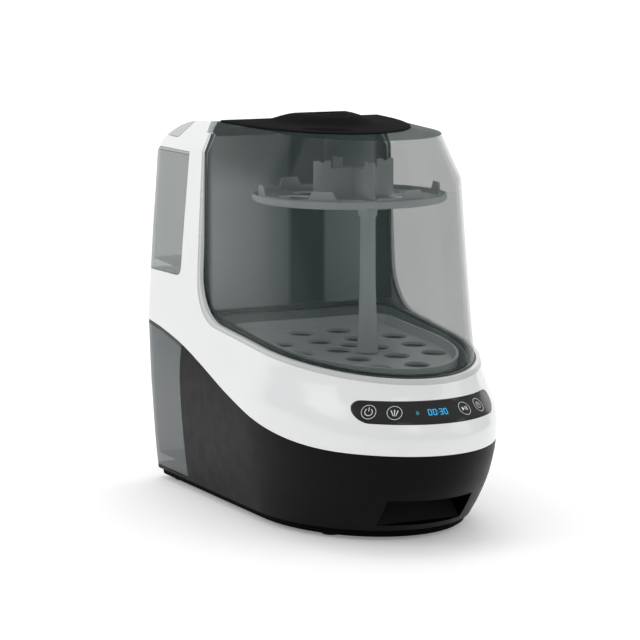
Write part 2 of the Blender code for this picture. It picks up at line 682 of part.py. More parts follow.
def deck_ring(height):
    """Outer edge of the tub's flange, just inside the shell, with the tub's point order."""
    ref = tub_ring(0.0, 0.0)
    out = []
    for x, y, _ in ref:
        z = float(height(np.array([y]))[0])
        w, b, r = [float(v[0]) for v in section(np.array([z]))]
        if y > NOSE_Y:
            edge = w + (r - w) * (y - NOSE_Y) / (REAR_Y - NOSE_Y) - FLANGE_GAP
            px = math.copysign(min(abs(x) + 30.0, edge), x)
            py = y
            if y > 60.0:
                px = math.copysign(edge - max(TUB_HALF - abs(x), 0.0), x)
            if y > 95.0:
                py = y + 3.6
        else:
            t = math.atan2(-(y - NOSE_Y) / TUB_NOSE, x / TUB_HALF)
            px = (w - FLANGE_GAP) * math.cos(t)
            py = NOSE_Y - (b - FLANGE_GAP) * math.sin(t)
        out.append((px, py, float(height(np.array([py]))[0])))
    return np.array(out)


def deck_top(y):
    return rim_z(y) - 0.5


def deck_low(y):
    return rim_z(y) - 3.5


tub = loft("wash_tub", [tub_ring(10.0, TUB_FLOOR - 2.6), tub_ring(-2.6, lambda y: deck_low(y) - 3.0),
                        tub_ring(-3.0, deck_low), deck_ring(deck_low), deck_ring(deck_top),
                        tub_ring(0.0, deck_top), tub_ring(1.0, lambda y: deck_top(y) - 3.0),
                        tub_ring(13.0, TUB_FLOOR)])
fix_normals(tub)
cut(tub, [lathe("drain", [(27.0, 100.0), (27.0, 190.0)], (0.0, CENTRE_Y, 0.0), n=32)])
paint(tub, (0.50, 0.53, 0.53), 0.35)
place(tub)
back_wall = wall_plate("chamber_back_wall", 212.0, 405.0, 109.0, 112.0, 6.0)
cut(back_wall, [body_solid("wall_core", 6.0, 190.0, top_drop=7.0)], "INTERSECT")
paint(back_wall, (0.07, 0.10, 0.10), 0.5)
place(back_wall)
seal = loft("cover_seal", [tub_ring(-5.0, lambda y: rim_z(y) - 0.1, SEAL_BACK),
                           tub_ring(-5.0, lambda y: rim_z(y) + 1.6, SEAL_BACK),
                           tub_ring(-1.5, lambda y: rim_z(y) + 1.6, SEAL_BACK),
                           tub_ring(-1.5, lambda y: rim_z(y) - 0.1, SEAL_BACK)], closed=True)
fix_normals(seal)
paint(seal, (0.02, 0.02, 0.02), 0.7)
place(seal)

strainer = lathe("sump_filter", [(24.0, 128.0), (26.2, 128.0), (26.2, 158.4), (32.0, 159.6), (32.0, 162.0),
                                 (24.0, 162.0), (24.0, 131.0), (10.0, 131.0), (10.0, 128.0)],
                 (0.0, CENTRE_Y, 0.0), n=32, closed=True)
paint(strainer, (0.30, 0.32, 0.33), 0.4, 0.6)
place(strainer, (0.0, CENTRE_Y, 128.0))
hub_shape = [(7.0, 166.0), (9.0, 166.0), (9.0, 173.0), (7.0, 173.0)]
arm = lathe("spray_arm", hub_shape, (0.0, CENTRE_Y, 0.0), n=24, closed=True)
blade = [(-74.0, -6.0), (-30.0, -10.0), (0.0, -12.0), (30.0, -10.0), (74.0, -6.0), (74.0, 6.0), (30.0, 10.0),
         (0.0, 12.0), (-30.0, 10.0), (-74.0, 6.0)]
arms = prism("arms", [(x, CENTRE_Y + y) for x, y in blade], 167.0, 172.0, "Z")
cut(arms, [lathe("eye", [(8.0, 150.0), (8.0, 190.0)], (0.0, CENTRE_Y, 0.0), n=24)])
cut(arm, [arms], "UNION")
paint(arm, (0.70, 0.72, 0.72), 0.4)
place(arm, (0.0, CENTRE_Y, 169.0))


def turn(obj, angle, centre_y):
    """Turn a cutter about the Z axis and move it to the tray's centre."""
    for v in obj.data.vertices:
        x, y = v.co.x, v.co.y
        v.co.x = x * math.cos(angle) - y * math.sin(angle)
        v.co.y = x * math.sin(angle) + y * math.cos(angle) + centre_y * MM


rack = loft("lower_rack", [tub_ring(9.5, lambda y: 181.0 + 0.06 * y, RACK_BACK),
                           tub_ring(7.5, lambda y: 194.0 + 0.06 * y, RACK_BACK),
                           tub_ring(10.5, lambda y: 194.0 + 0.06 * y, RACK_BACK),
                           tub_ring(12.5, lambda y: 184.5 + 0.06 * y, RACK_BACK)])
fix_normals(rack)
for i in range(4):
    for j in range(5):
        x = (i - 1.5) * RACK_PITCH
        y = RACK_HOLES_Y + (j - 2) * RACK_PITCH
        if y < 64.0 and (x / 80.0) ** 2 + ((y - NOSE_Y) / 132.0) ** 2 < 1.02:
            cut(rack, [lathe("rack_hole", [(14.0, 150.0), (14.0, 230.0)], (x, y, 0.0), n=14)])
cut(rack, [lathe("rack_eye", [(12.0, 150.0), (12.0, 230.0)], (0.0, CENTRE_Y, 0.0), n=24)])
paint(rack, MILK, 0.3, alpha=0.8)
place(rack, (0.0, CENTRE_Y, 180.0))
column_shape = [(8.0, 181.9), (11.6, 181.9), (10.4, 200.0), (8.4, 260.0), (8.0, 327.0), (10.2, 330.0),
                (10.2, 341.6), (5.6, 341.6), (5.6, 260.0)]
column = lathe("centre_column", column_shape, (0.0, COLUMN_Y, 0.0), n=24, closed=True)
paint(column, MILK, 0.3, alpha=0.85)
place(column, (0.0, COLUMN_Y, 180.0), rack)

# the tray: a thin dished plate with a rim, and a low wall left standing as six tabs
tray_shape = [(TRAY_R - 3.0, TRAY_Z), (TRAY_R, TRAY_Z + 2.0), (TRAY_R, TRAY_Z + 8.0),
              (TRAY_R - 2.0, TRAY_Z + 8.0), (TRAY_R - 2.0, TRAY_FLOOR), (TRAY_R - 7.0, TRAY_FLOOR),
              (TRAY_R - 7.0, TAB_Z), (TRAY_R - 9.0, TAB_Z), (TRAY_R - 9.0, TRAY_FLOOR), (4.0, TRAY_FLOOR),
              (4.0, TRAY_Z + 1.5), (TRAY_R - 6.0, TRAY_Z + 1.5), (TRAY_R - 5.0, TRAY_Z)]
tray = lathe("upper_tray", tray_shape, (0.0, CENTRE_Y, 0.0), n=54, closed=True)
gap_shape = [(-34.0, TRAY_Z + 8.4), (34.0, TRAY_Z + 8.4), (42.0, TAB_Z + 5.0), (-42.0, TAB_Z + 5.0)]
for k in range(6):
    gap = prism("tab_gap", gap_shape, 84.0, 103.0, "Y")
    turn(gap, math.radians(TAB_TURN + 60.0 * k), CENTRE_Y)
    cut(tray, [gap])
for k in range(8):
    a = math.pi / 8 + math.pi / 4 * k
    spot = (60.0 * math.cos(a), CENTRE_Y + 60.0 * math.sin(a), 300.0)
    cut(tray, [lathe("nipple_hole", [(17.0, 0.0), (17.0, 60.0)], spot, n=16)])
paint(tray, MILK, 0.3, alpha=0.85)
place(tray, (0.0, CENTRE_Y, TRAY_Z), rack)
half_horns = [(28.0, 378.0), (28.0, HORN_Z), (34.5, HORN_Z), (38.0, HORN_Z - 2.9), (41.5, HORN_Z),
              (48.0, HORN_Z), (48.0, TRAY_FLOOR + 0.3)]
horns = half_horns + [(-x, z) for x, z in half_horns[::-1]]
holder = prism("tray_holders", horns, HOLDER_Y - 1.3, HOLDER_Y + 1.3, "Y")
across = [(y + HOLDER_Y, z) for y, z in horns]
cut(holder, [prism("cross_plate", across, -1.3, 1.3)], "UNION")
paint(holder, MILK, 0.3, alpha=0.85)
place(holder, (0.0, HOLDER_Y, TRAY_Z), tray)

# ---------------------------------------------------------------- inside the casing
volute_shape = [(30.0, 60.0), (30.0, 88.0), (12.0, 88.0), (12.0, 84.0), (26.0, 84.0), (26.0, 64.0),
                (12.0, 64.0), (12.0, 22.0), (24.0, 22.0), (24.0, 60.0)]
volute = lathe("wash_pump", volute_shape, (0.0, PUMP_Y, 0.0), n=28, closed=True)
paint(volute, (0.12, 0.12, 0.13), 0.5)
place(volute)
impeller_shape = [(3.0, 66.0), (23.0, 66.0), (23.0, 70.0), (8.0, 72.0), (6.0, 82.0), (3.0, 82.0)]
impeller = lathe("pump_impeller", impeller_shape, (0.0, PUMP_Y, 0.0), n=24, closed=True)
paint(impeller, (0.6, 0.6, 0.58), 0.4)
place(impeller, (0.0, PUMP_Y, 74.0))
rotor = lathe("pump_shaft", [(2.7, 24.0), (2.7, 82.0)], (0.0, PUMP_Y, 0.0), n=16)
paint(rotor, STEEL, 0.3, 1.0)
place(rotor, (0.0, PUMP_Y, 74.0), impeller)
heater_shape = [(24.0, 24.0), (34.0, 24.0), (34.0, 44.0), (24.0, 44.0)]
heater = lathe("heater", heater_shape, (0.0, HEATER_Y, 0.0), n=32, closed=True)
paint(heater, STEEL, 0.35, 1.0)
place(heater)
for name, x, h, r in (("drain_pump", 70.0, 52.0, 20.0), ("fill_pump", -70.0, 46.0, 18.0)):
    pump_shape = [(r, 18.0), (r, 18.0 + h), (r * 0.5, 24.0 + h), (r * 0.5, 32.0 + h)]
    pump = lathe(name, pump_shape, (x, 60.0, 0.0), n=24)
    paint(pump, (0.16, 0.16, 0.17), 0.5)
    place(pump)
FAN = (0.0, 126.0, 300.0)
blower_shape = [(36.0, -11.5), (36.0, 8.0), (12.0, 8.0), (12.0, 5.5), (33.5, 5.5), (33.5, -9.0), (8.0, -9.0),
                (8.0, -11.5)]
blower = lathe("blower_housing", blower_shape, FAN, (0.0, 1.0, 0.0), 32, closed=True)
paint(blower, (0.10, 0.10, 0.11), 0.5)
place(blower)
fan_shape = [(5.0, -7.5), (31.0, -7.5), (31.0, 4.0), (27.0, 4.0), (27.0, -4.5), (5.0, -4.5)]
fan = lathe("blower_fan", fan_shape, FAN, (0.0, 1.0, 0.0), 24, closed=True)
paint(fan, (0.35, 0.36, 0.38), 0.5)
place(fan, FAN)
air = box("air_filter", (-30.0, 222.0, 207.0), (30.0, 234.0, 233.0))
paint(air, (0.75, 0.76, 0.74), 0.9)
place(air)
board = box("main_board", (-86.0, -20.0, 24.0), (-84.4, 30.0, 110.0))
paint(board, BOARD, 0.5)
place(board)
inlet = box("power_inlet", (102.0, 84.0, 30.0), (117.5, 112.0, 52.0))
cut(inlet, [box("inlet_well", (105.0, 88.0, 34.0), (140.0, 108.0, 48.0))])
paint(inlet, (0.03, 0.03, 0.03), 0.5)
place(inlet)
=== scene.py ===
"""Looks of the countertop bottle washer: high-resolution shells, tanks, racks, panel and materials.

Lengths are millimetres in the functions and metres in the meshes, in the CAD's own frame:
front is -Y, X = 0 is the symmetry plane, Z = 0 is the table.
"""

import math

import bpy
import numpy as np
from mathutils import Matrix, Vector


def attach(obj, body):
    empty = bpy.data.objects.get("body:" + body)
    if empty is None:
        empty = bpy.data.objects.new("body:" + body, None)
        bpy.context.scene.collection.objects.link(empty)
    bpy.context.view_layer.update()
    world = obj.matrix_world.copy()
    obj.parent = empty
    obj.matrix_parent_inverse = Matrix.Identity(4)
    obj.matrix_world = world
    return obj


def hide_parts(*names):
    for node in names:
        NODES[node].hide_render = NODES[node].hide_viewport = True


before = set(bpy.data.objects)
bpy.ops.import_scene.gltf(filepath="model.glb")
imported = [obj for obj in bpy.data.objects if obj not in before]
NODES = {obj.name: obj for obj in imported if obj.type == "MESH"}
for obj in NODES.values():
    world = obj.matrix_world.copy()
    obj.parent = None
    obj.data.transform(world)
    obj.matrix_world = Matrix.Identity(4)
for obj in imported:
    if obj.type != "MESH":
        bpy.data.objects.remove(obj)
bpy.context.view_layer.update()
MM = 0.001
WIDE = 170.0               # half width of a cutter that runs right through the body
SKY = 520.0                # above everything

# ---------------------------------------------------------------- sizes shared with the CAD
NOSE_Y = -29.0             # where the straight sides meet the nose
REAR_Y = 242.0
REAR_CORNER = 13.0
COVER_REAR_Y = 105.4
SHELL_FRONT_Y = 106.0
BAY_FRONT_TOP = 144.0      # front edge of the tank bays, at the top and at the foot
BAY_FRONT_LOW = 153.0
CLEAN_FLOOR = 246.0        # lower and upper edges of the upper bay
CLEAN_TOP = 386.5
WALL = 5.0
BASE_FOOT = 12.3
CREASE_Z = 389.6
TOP_Z = 418.9
TOP_SLOPE = 0.027
RIM_Z = 174.5
RIM_SLOPE = 0.104
RIM_FRONT = -212.0
FILLET = 55.0
HINGE_Y = 110.0
GRIP_LOW = 399.0
KEYS = (("power", -69.0), ("wash", -47.5), ("start", 30.0), ("mode", 53.0))
PANEL_Z = 144.0
KEY_R = 8.4
PAD_LENGTH = 177.0
CENTRE_Y = -18.0           # axis of the spray arm, the sump filter and the upper tray
TRAY_R = 105.5             # rim of the upper tray
TRAY_Z = 342.0             # its underside
TRAY_FLOOR = 346.0         # top of its plate
TAB_Z = 360.0              # top of its tabs
TAB_TURN = -74.0           # first gap between tabs, degrees from the rear
COLUMN_Y = -61.0           # steam column
HOLDER_Y = -28.0           # crossed plates on the tray
HORN_Z = 386.7             # top of their horns
RACK_BACK = 92.0           # rear edge of the lower rack, before its inset
RACK_PITCH = 46.0          # between the rack's holes
RACK_HOLES_Y = -38.0       # middle row of holes
VENT_Y = 24.0              # middle of the steam vent
VENT_SINK = 11.6           # floor of the vent's seat, over the top plane
TANK_FRONT = 146.6         # front face of the waste tank
TUB_FLOOR = 158.0
TUB_HALF = 104.0
TUB_NOSE = 164.0

# ---------------------------------------------------------------- sizes of the looks alone
LEDGE_DEPTH = 0.9          # shallow step round the cover's opening
LEDGE_WIDTH = 5.4
LEDGE_TOP = 407.0

# sections of the body: height, rear half width, nose half width, nose length
SECTION_FOOT = (12.0, 121.0, 118.0, 155.0)
SECTION_TUCK = (35.0, 123.5, 123.0, 177.0)
SECTION_FLARE = (67.0, 126.0, 127.5, 200.0)
SECTION_BELLY = (100.0, 128.0, 131.0, 211.0)
SECTION_FRONT = (118.0, 129.2, 131.7, 213.0)
SECTION_PANEL = (133.0, 129.8, 131.7, 206.0)
SECTION_PANEL_TOP = (157.0, 130.6, 127.0, 187.0)
SECTION_LIP = (172.0, 131.0, 121.5, 183.0)
SECTION_RIM = (190.0, 131.7, 120.0, 178.0)
SECTION_BAND = (235.0, 129.2, 119.0, 176.0)
SECTION_MID = (300.0, 124.8, 118.0, 176.0)
SECTION_HIGH = (345.0, 121.2, 117.0, 176.0)
SECTION_CREASE = (400.0, 117.2, 115.0, 176.0)
SECTIONS = np.array([SECTION_FOOT, SECTION_TUCK, SECTION_FLARE, SECTION_BELLY, SECTION_FRONT,
                     SECTION_PANEL, SECTION_PANEL_TOP, SECTION_LIP, SECTION_RIM, SECTION_BAND,
                     SECTION_MID, SECTION_HIGH, SECTION_CREASE])


# ---------------------------------------------------------------- the body's outline
def hermite(x, xs, ys):
    """Shape-preserving cubic through the stations."""
    x = np.clip(x, xs[0], xs[-1])
    h = np.diff(xs)
    d = np.diff(ys) / h
    m = np.zeros(len(xs))
    m[0] = d[0]
    m[-1] = d[-1]
    for i in range(1, len(xs) - 1):
        if d[i - 1] * d[i] > 0:
            m[i] = 2.0 * d[i - 1] * d[i] / (d[i - 1] + d[i])
    i = np.clip(np.searchsorted(xs, x, side="right") - 1, 0, len(h) - 1)
    t = (x - xs[i]) / h[i]
    start = (1 + 2 * t) * (1 - t) ** 2 * ys[i] + t * (1 - t) ** 2 * h[i] * m[i]
    return start + t * t * (3 - 2 * t) * ys[i + 1] + t * t * (t - 1) * h[i] * m[i + 1]


def section(z):
    """Nose half width, nose length and rear half width at a height."""
    return [hermite(z, SECTIONS[:, 0], SECTIONS[:, k]) for k in (2, 3, 1)]


def seam_z(y):
    """Seam between the white shell and the black base."""
    s = np.clip((np.asarray(y, float) + 189.0) / 510.0, 0.0, 1.0)
    return 100.0 + 47.0 * (1.0 - np.cos(math.pi * s))


def rim_z(y):
    return RIM_Z + RIM_SLOPE * (y - RIM_FRONT)


def top_z(y):
    return TOP_Z + TOP_SLOPE * y


def crease_z(y):
    return CREASE_Z - 0.06 * (y - SHELL_FRONT_Y)


SIDE_STEPS = 10
ARC_STEPS = 9
NOSE_STEPS = 112


def plan(width, nose, rear_w, inset):
    """Plan outline, anticlockwise from the right side, for widths given per point."""
    corner = max(REAR_CORNER - inset, 2.0)
    back = REAR_Y - inset
    count = 2 * SIDE_STEPS + 2 * ARC_STEPS + NOSE_STEPS - 1
    w = np.broadcast_to(width, (count,)) - inset
    b = np.broadcast_to(nose, (count,)) - inset
    r = np.broadcast_to(rear_w, (count,)) - inset
    side = NOSE_Y + np.arange(SIDE_STEPS) / SIDE_STEPS * (back - corner - NOSE_Y)
    arc = np.linspace(0.0, math.pi / 2, ARC_STEPS)
    turn = np.linspace(0.0, math.pi, NOSE_STEPS + 1)[1:-1]
    half = SIDE_STEPS + ARC_STEPS
    x = np.zeros(count)
    y = np.zeros(count)
    y[:SIDE_STEPS] = side
    y[SIDE_STEPS:half] = back - corner + corner * np.sin(arc)
    x[SIDE_STEPS:half] = r[SIDE_STEPS:half] - corner + corner * np.cos(arc)
    y[half:2 * half] = y[:half][::-1]
    slope = (r - w) * (y - NOSE_Y) / (back - NOSE_Y)
    x[:SIDE_STEPS] = (w + slope)[:SIDE_STEPS]
    x[half:half + ARC_STEPS] = -(r[half:half + ARC_STEPS] - corner + corner * np.cos(arc[::-1]))
    x[half + ARC_STEPS:2 * half] = -(w + slope)[half + ARC_STEPS:2 * half]
    x[2 * half:] = -w[2 * half:] * np.cos(turn)
    y[2 * half:] = NOSE_Y - b[2 * half:] * np.sin(turn)
    return x, y


def body_ring(height, inset):
    """Outline of the body on a level, where height is a number or a function of Y."""
    z = height(0.0) if callable(height) else height
    for _ in range(6):
        w, b, r = section(z)
        x, y = plan(w, b, r, inset)
        z = np.asarray(height(y) if callable(height) else np.full(len(x), float(height)), float)
    return np.stack([x, y, z], 1)


def body_top_ring(v, inset, drop):
    """Outline above the side crease: v runs from the crease (0) to the top plane (1)."""
    low = body_ring(lambda y: crease_z(y) - 0.4 * drop, inset)
    x, y = plan(112.0, 170.0, 93.0, inset)
    high = np.stack([x, y, top_z(y) - drop], 1)
    return low + (high - low) * v


# ---------------------------------------------------------------- mesh helpers
def to_mesh(name, verts, faces):
    mesh = bpy.data.meshes.new(name)
    mesh.from_pydata([tuple(float(c) * MM for c in v) for v in verts], [], faces)
    mesh.validate()
    mesh.update()
    obj = bpy.data.objects.new(name, mesh)
    bpy.context.scene.collection.objects.link(obj)
    face_out(obj)
    return obj


def face_out(obj):
    """Turn a closed mesh so that its faces point outwards."""
    mesh = obj.data
    mesh.calc_loop_triangles()
    co = np.zeros(len(mesh.vertices) * 3)
    mesh.vertices.foreach_get("co", co)
    co = co.reshape(-1, 3)
    tri = np.zeros(len(mesh.loop_triangles) * 3, dtype=np.int32)
    mesh.loop_triangles.foreach_get("vertices", tri)
    a, b, c = [co[tri[k::3]] for k in range(3)]
    if np.einsum("ij,ij->i", a, np.cross(b, c)).sum() < 0:
        mesh.flip_normals()
    mesh.update()


def loft(name, rings, closed=False):
    """Body through rings of equal point counts, with end caps unless it closes on itself."""
    n = len(rings[0])
    count = len(rings)
    faces = []
    for i in range(count if closed else count - 1):
        a = i * n
        b = ((i + 1) % count) * n
        faces += [(a + j, a + (j + 1) % n, b + (j + 1) % n, b + j) for j in range(n)]
    if not closed:
        faces.append(tuple(range(n))[::-1])
        faces.append(tuple(range((count - 1) * n, count * n)))
    return to_mesh(name, np.concatenate(rings), faces)


def prism(name, profile, low, high, axis="X"):
    """Straight prism. The profile is (Y, Z) for X, (X, Z) for Y and (X, Y) for Z."""
    order = {"X": lambda s, p, q: (s, p, q), "Y": lambda s, p, q: (p, s, q), "Z": lambda s, p, q: (p, q, s)}
    rings = [np.array([order[axis](s, p, q) for p, q in profile], float) for s in (low, high)]
    return loft(name, rings)


def box(name, low, high):
    profile = [(low[0], low[1]), (high[0], low[1]), (high[0], high[1]), (low[0], high[1])]
    return prism(name, profile, low[2], high[2], "Z")


def axes_for(axis):
    a = Vector(axis).normalized()
    side = Vector((0, 0, 1)) if abs(a.z) < 0.9 else Vector((1, 0, 0))
    u = side.cross(a).normalized()
    return u, a.cross(u), a


def lathe(name, profile, centre=(0, 0, 0), axis=(0, 0, 1), n=96, closed=False):
    """Turned body from (radius, height) pairs."""
    u, v, a = [np.array(k) for k in axes_for(axis)]
    t = np.linspace(0.0, 2 * math.pi, n, endpoint=False)[:, None]
    rings = [np.array(centre) + a * h + u * (r * np.cos(t)) + v * (r * np.sin(t)) for r, h in profile]
    return loft(name, rings, closed)


def rod(name, start, end, r, n=40):
    d = Vector(end) - Vector(start)
    return lathe(name, [(r, 0.0), (r, d.length)], start, tuple(d), n)


def cut(obj, tools, how="DIFFERENCE"):
    """Exact Boolean with each tool in turn; the tools are used up."""
    for tool in tools:
        mod = obj.modifiers.new("cut", "BOOLEAN")
        mod.operation = how
        mod.solver = "EXACT"
        mod.object = tool
        bpy.context.view_layer.update()
        graph = bpy.context.evaluated_depsgraph_get()
        mesh = bpy.data.meshes.new_from_object(obj.evaluated_get(graph))
        obj.modifiers.clear()
        old = obj.data
        obj.data = mesh
        bpy.data.meshes.remove(old)
        bpy.data.objects.remove(tool, do_unlink=True)
    return obj


def soften(obj, width=0.6, segments=3, angle=32.0):
    """Round the hard edges and shade the rest smooth."""
    mod = obj.modifiers.new("edge", "BEVEL")
    mod.width = width * MM
    mod.segments = segments
    mod.limit_method = "ANGLE"
    mod.angle_limit = math.radians(angle)
    mod.harden_normals = True
    mod.use_clamp_overlap = True
    for poly in obj.data.polygons:
        poly.use_smooth = True
    return obj


def join(name, objs):
    """One object from several, keeping each one's material."""
    verts = []
    faces = []
    mats = []
    picks = []
    for obj in objs:
        base = len(verts)
        verts += [tuple(v.co) for v in obj.data.vertices]
        mat = obj.data.materials[0] if obj.data.materials else None
        if mat not in mats:
            mats.append(mat)
        for poly in obj.data.polygons:
            faces.append(tuple(base + i for i in poly.vertices))
            picks.append(mats.index(mat))
    mesh = bpy.data.meshes.new(name)
    mesh.from_pydata(verts, [], faces)
    for mat in mats:
        mesh.materials.append(mat)
    for poly, pick in zip(mesh.polygons, picks):
        poly.material_index = pick
    out = bpy.data.objects.new(name, mesh)
    bpy.context.scene.collection.objects.link(out)
    for obj in objs:
        bpy.data.objects.remove(obj, do_unlink=True)
    return out


# ---------------------------------------------------------------- materials
def new_material(name, rgb, rough, metal=0.0):
    mat = bpy.data.materials.new(name)
    mat.use_nodes = True
    node = mat.node_tree.nodes["Principled BSDF"]
    node.inputs["Base Color"].default_value = (*rgb, 1.0)
    node.inputs["Roughness"].default_value = rough
    node.inputs["Metallic"].default_value = metal
    return mat, node


def noise(mat, scale, detail=3.0, where=None):
    tree = mat.node_tree
    if where is None:
        where = tree.nodes.new("ShaderNodeTexCoord").outputs["Object"]
    tex = tree.nodes.new("ShaderNodeTexNoise")
    tex.inputs["Scale"].default_value = scale
    tex.inputs["Detail"].default_value = detail
    tree.links.new(where, tex.inputs["Vector"])
    return tex.outputs["Fac"]


def ramp(mat, source, low, high, start=0.35, end=0.65):
    tree = mat.node_tree
    node = tree.nodes.new("ShaderNodeValToRGB")
    node.color_ramp.elements[0].position = start
    node.color_ramp.elements[1].position = end
    node.color_ramp.elements[0].color = (*low, 1.0)
    node.color_ramp.elements[1].color = (*high, 1.0)
    tree.links.new(source, node.inputs["Fac"])
    return node.outputs["Color"]


def bump(mat, source, strength, distance):
    tree = mat.node_tree
    node = tree.nodes.new("ShaderNodeBump")
    node.inputs["Strength"].default_value = strength
    node.inputs["Distance"].default_value = distance
    tree.links.new(source, node.inputs["Height"])
    tree.links.new(node.outputs["Normal"], tree.nodes["Principled BSDF"].inputs["Normal"])


def plastic(name, rgb, rough, grain=900.0, grain_depth=0.00004, drift=0.03, spread=0.05, coat=0.0,
            shine=0.5):
    """Moulded plastic: fine surface grain, slow drift in tone and small changes in gloss."""
    mat, node = new_material(name, rgb, rough)
    tree = mat.node_tree
    low = tuple(c * (1.0 - drift) for c in rgb)
    high = tuple(min(c * (1.0 + drift), 1.0) for c in rgb)
    tree.links.new(ramp(mat, noise(mat, 9.0), low, high), node.inputs["Base Color"])
    gloss = ramp(mat, noise(mat, 60.0, 4.0), (rough - spread,) * 3, (rough + spread,) * 3)
    tree.links.new(gloss, node.inputs["Roughness"])
    bump(mat, noise(mat, grain, 2.0), 0.35, grain_depth)
    node.inputs["Specular IOR Level"].default_value = shine
    node.inputs["Coat Weight"].default_value = coat
    node.inputs["Coat Roughness"].default_value = 0.06
    return mat


def clear(name, rgb, alpha, rough=0.06, drift=0.05, spread=0.02, shine=0.5):
    """Clear moulded plastic: part of the light goes straight through, the rest shows gloss and tint."""
    mat, node = new_material(name, rgb, rough)
    tree = mat.node_tree
    low = tuple(c * (1.0 - drift) for c in rgb)
    high = tuple(c * (1.0 + drift) for c in rgb)
    tree.links.new(ramp(mat, noise(mat, 7.0), low, high), node.inputs["Base Color"])
    tree.links.new(ramp(mat, noise(mat, 40.0), (rough - spread,) * 3, (rough + spread,) * 3),
                   node.inputs["Roughness"])
    node.inputs["Alpha"].default_value = alpha
    node.inputs["Specular IOR Level"].default_value = shine
    return mat


def metal(name, rgb, rough):
    mat, node = new_material(name, rgb, rough, 1.0)
    tree = mat.node_tree
    coord = tree.nodes.new("ShaderNodeTexCoord")
    stretch = tree.nodes.new("ShaderNodeMapping")
    stretch.inputs["Scale"].default_value = (1.0, 1.0, 24.0)
    tree.links.new(coord.outputs["Object"], stretch.inputs["Vector"])
    lines = noise(mat, 140.0, 4.0, stretch.outputs["Vector"])
    tree.links.new(ramp(mat, lines, (rough - 0.08,) * 3, (rough + 0.1,) * 3), node.inputs["Roughness"])
    bump(mat, lines, 0.2, 0.00003)
    return mat


def glow(name, rgb, strength):
    mat, node = new_material(name, rgb, 0.5)
    tint = ramp(mat, noise(mat, 300.0), tuple(c * 0.9 for c in rgb), rgb)
    mat.node_tree.links.new(tint, node.inputs["Base Color"])
    node.inputs["Emission Color"].default_value = (*rgb, 1.0)
    node.inputs["Emission Strength"].default_value = strength
    return mat


def painted_reflection_wall(name, stops, rough, top_shade):
    """Dark wall plastic with painted light: upright bands of painted reflection and painted shade, given
    from its left edge to its right, and painted shade that darkens it towards the top.
    """
    mat, node = new_material(name, stops[0][1], rough)
    tree = mat.node_tree
    parts = tree.nodes.new("ShaderNodeSeparateXYZ")
    tree.links.new(tree.nodes.new("ShaderNodeTexCoord").outputs["Generated"], parts.inputs[0])
    tones = tree.nodes.new("ShaderNodeValToRGB")
    elements = tones.color_ramp.elements
    elements.remove(elements[0])
    elements[0].position = stops[0][0]
    elements[0].color = (*stops[0][1], 1.0)
    for place, rgb in stops[1:]:
        elements.new(place).color = (*rgb, 1.0)
    tree.links.new(parts.outputs["X"], tones.inputs["Fac"])
    # Painted shade: the wall darkens towards its top, where the cover's top shades it.
    shade = ramp(mat, parts.outputs["Z"], (1.0,) * 3, (top_shade,) * 3, 0.70, 0.88)
    product = tree.nodes.new("ShaderNodeVectorMath")
    product.operation = "MULTIPLY"
    tree.links.new(tones.outputs["Color"], product.inputs[0])
    tree.links.new(shade, product.inputs[1])
    tree.links.new(product.outputs["Vector"], node.inputs["Base Color"])
    bump(mat, noise(mat, 700.0, 2.0), 0.2, 0.00002)
    node.inputs["Specular IOR Level"].default_value = 0.2
    return mat


WHITE = plastic("gloss_white", (0.83, 0.84, 0.845), 0.16, 700.0, 0.00001, 0.008, 0.03, 0.35)
# Painted shade: the ledge round the cover's opening is the same white plastic, made grey to stand in for
# the shade on a chamfer turned towards the dark inside.
LEDGE_PAINTED_SHADE = plastic("ledge_painted_shade", (0.56, 0.57, 0.57), 0.3, 700.0, 0.00001, 0.008, 0.03)
BLACK = plastic("matte_black", (0.0022, 0.0022, 0.0023), 0.42, 1400.0, 0.00003, 0.06, 0.03, shine=0.085)
RECESS = plastic("recess_black", (0.03, 0.03, 0.031), 0.5, 1400.0, 0.00003, 0.06, 0.03, shine=0.1)
PLINTH = plastic("plinth_black", (0.002, 0.002, 0.002), 0.8, 900.0, 0.00008, 0.1, 0.06, shine=0.05)
RUBBER = plastic("foot_rubber", (0.006, 0.006, 0.006), 0.85, 500.0, 0.0001, 0.1, 0.06, shine=0.1)
TRIM = plastic("trim_black", (0.011, 0.0105, 0.0105), 0.45, 900.0, 0.00002, 0.06, 0.04, 0.02, 0.0)
GLOSS = plastic("lens_black", (0.005, 0.005, 0.0055), 0.12, 900.0, 0.00001, 0.05, 0.03, 0.0, 0.4)
SEAL = plastic("seal_rubber", (0.010, 0.013, 0.013), 0.6, 600.0, 0.00006, 0.1, 0.06, shine=0.1)
GREY = plastic("grip_grey", (0.56, 0.57, 0.575), 0.42, 1100.0, 0.00006, 0.03, 0.05)
LID = plastic("lid_grey", (0.42, 0.44, 0.44), 0.4, 900.0, 0.00005, 0.04, 0.05)
INNER = plastic("inner_white", (0.66, 0.68, 0.68), 0.38, 900.0, 0.00005, 0.03, 0.05)
TUB = plastic("tub_grey", (0.20, 0.225, 0.22), 0.4, 800.0, 0.00004, 0.05, 0.05, shine=0.3)
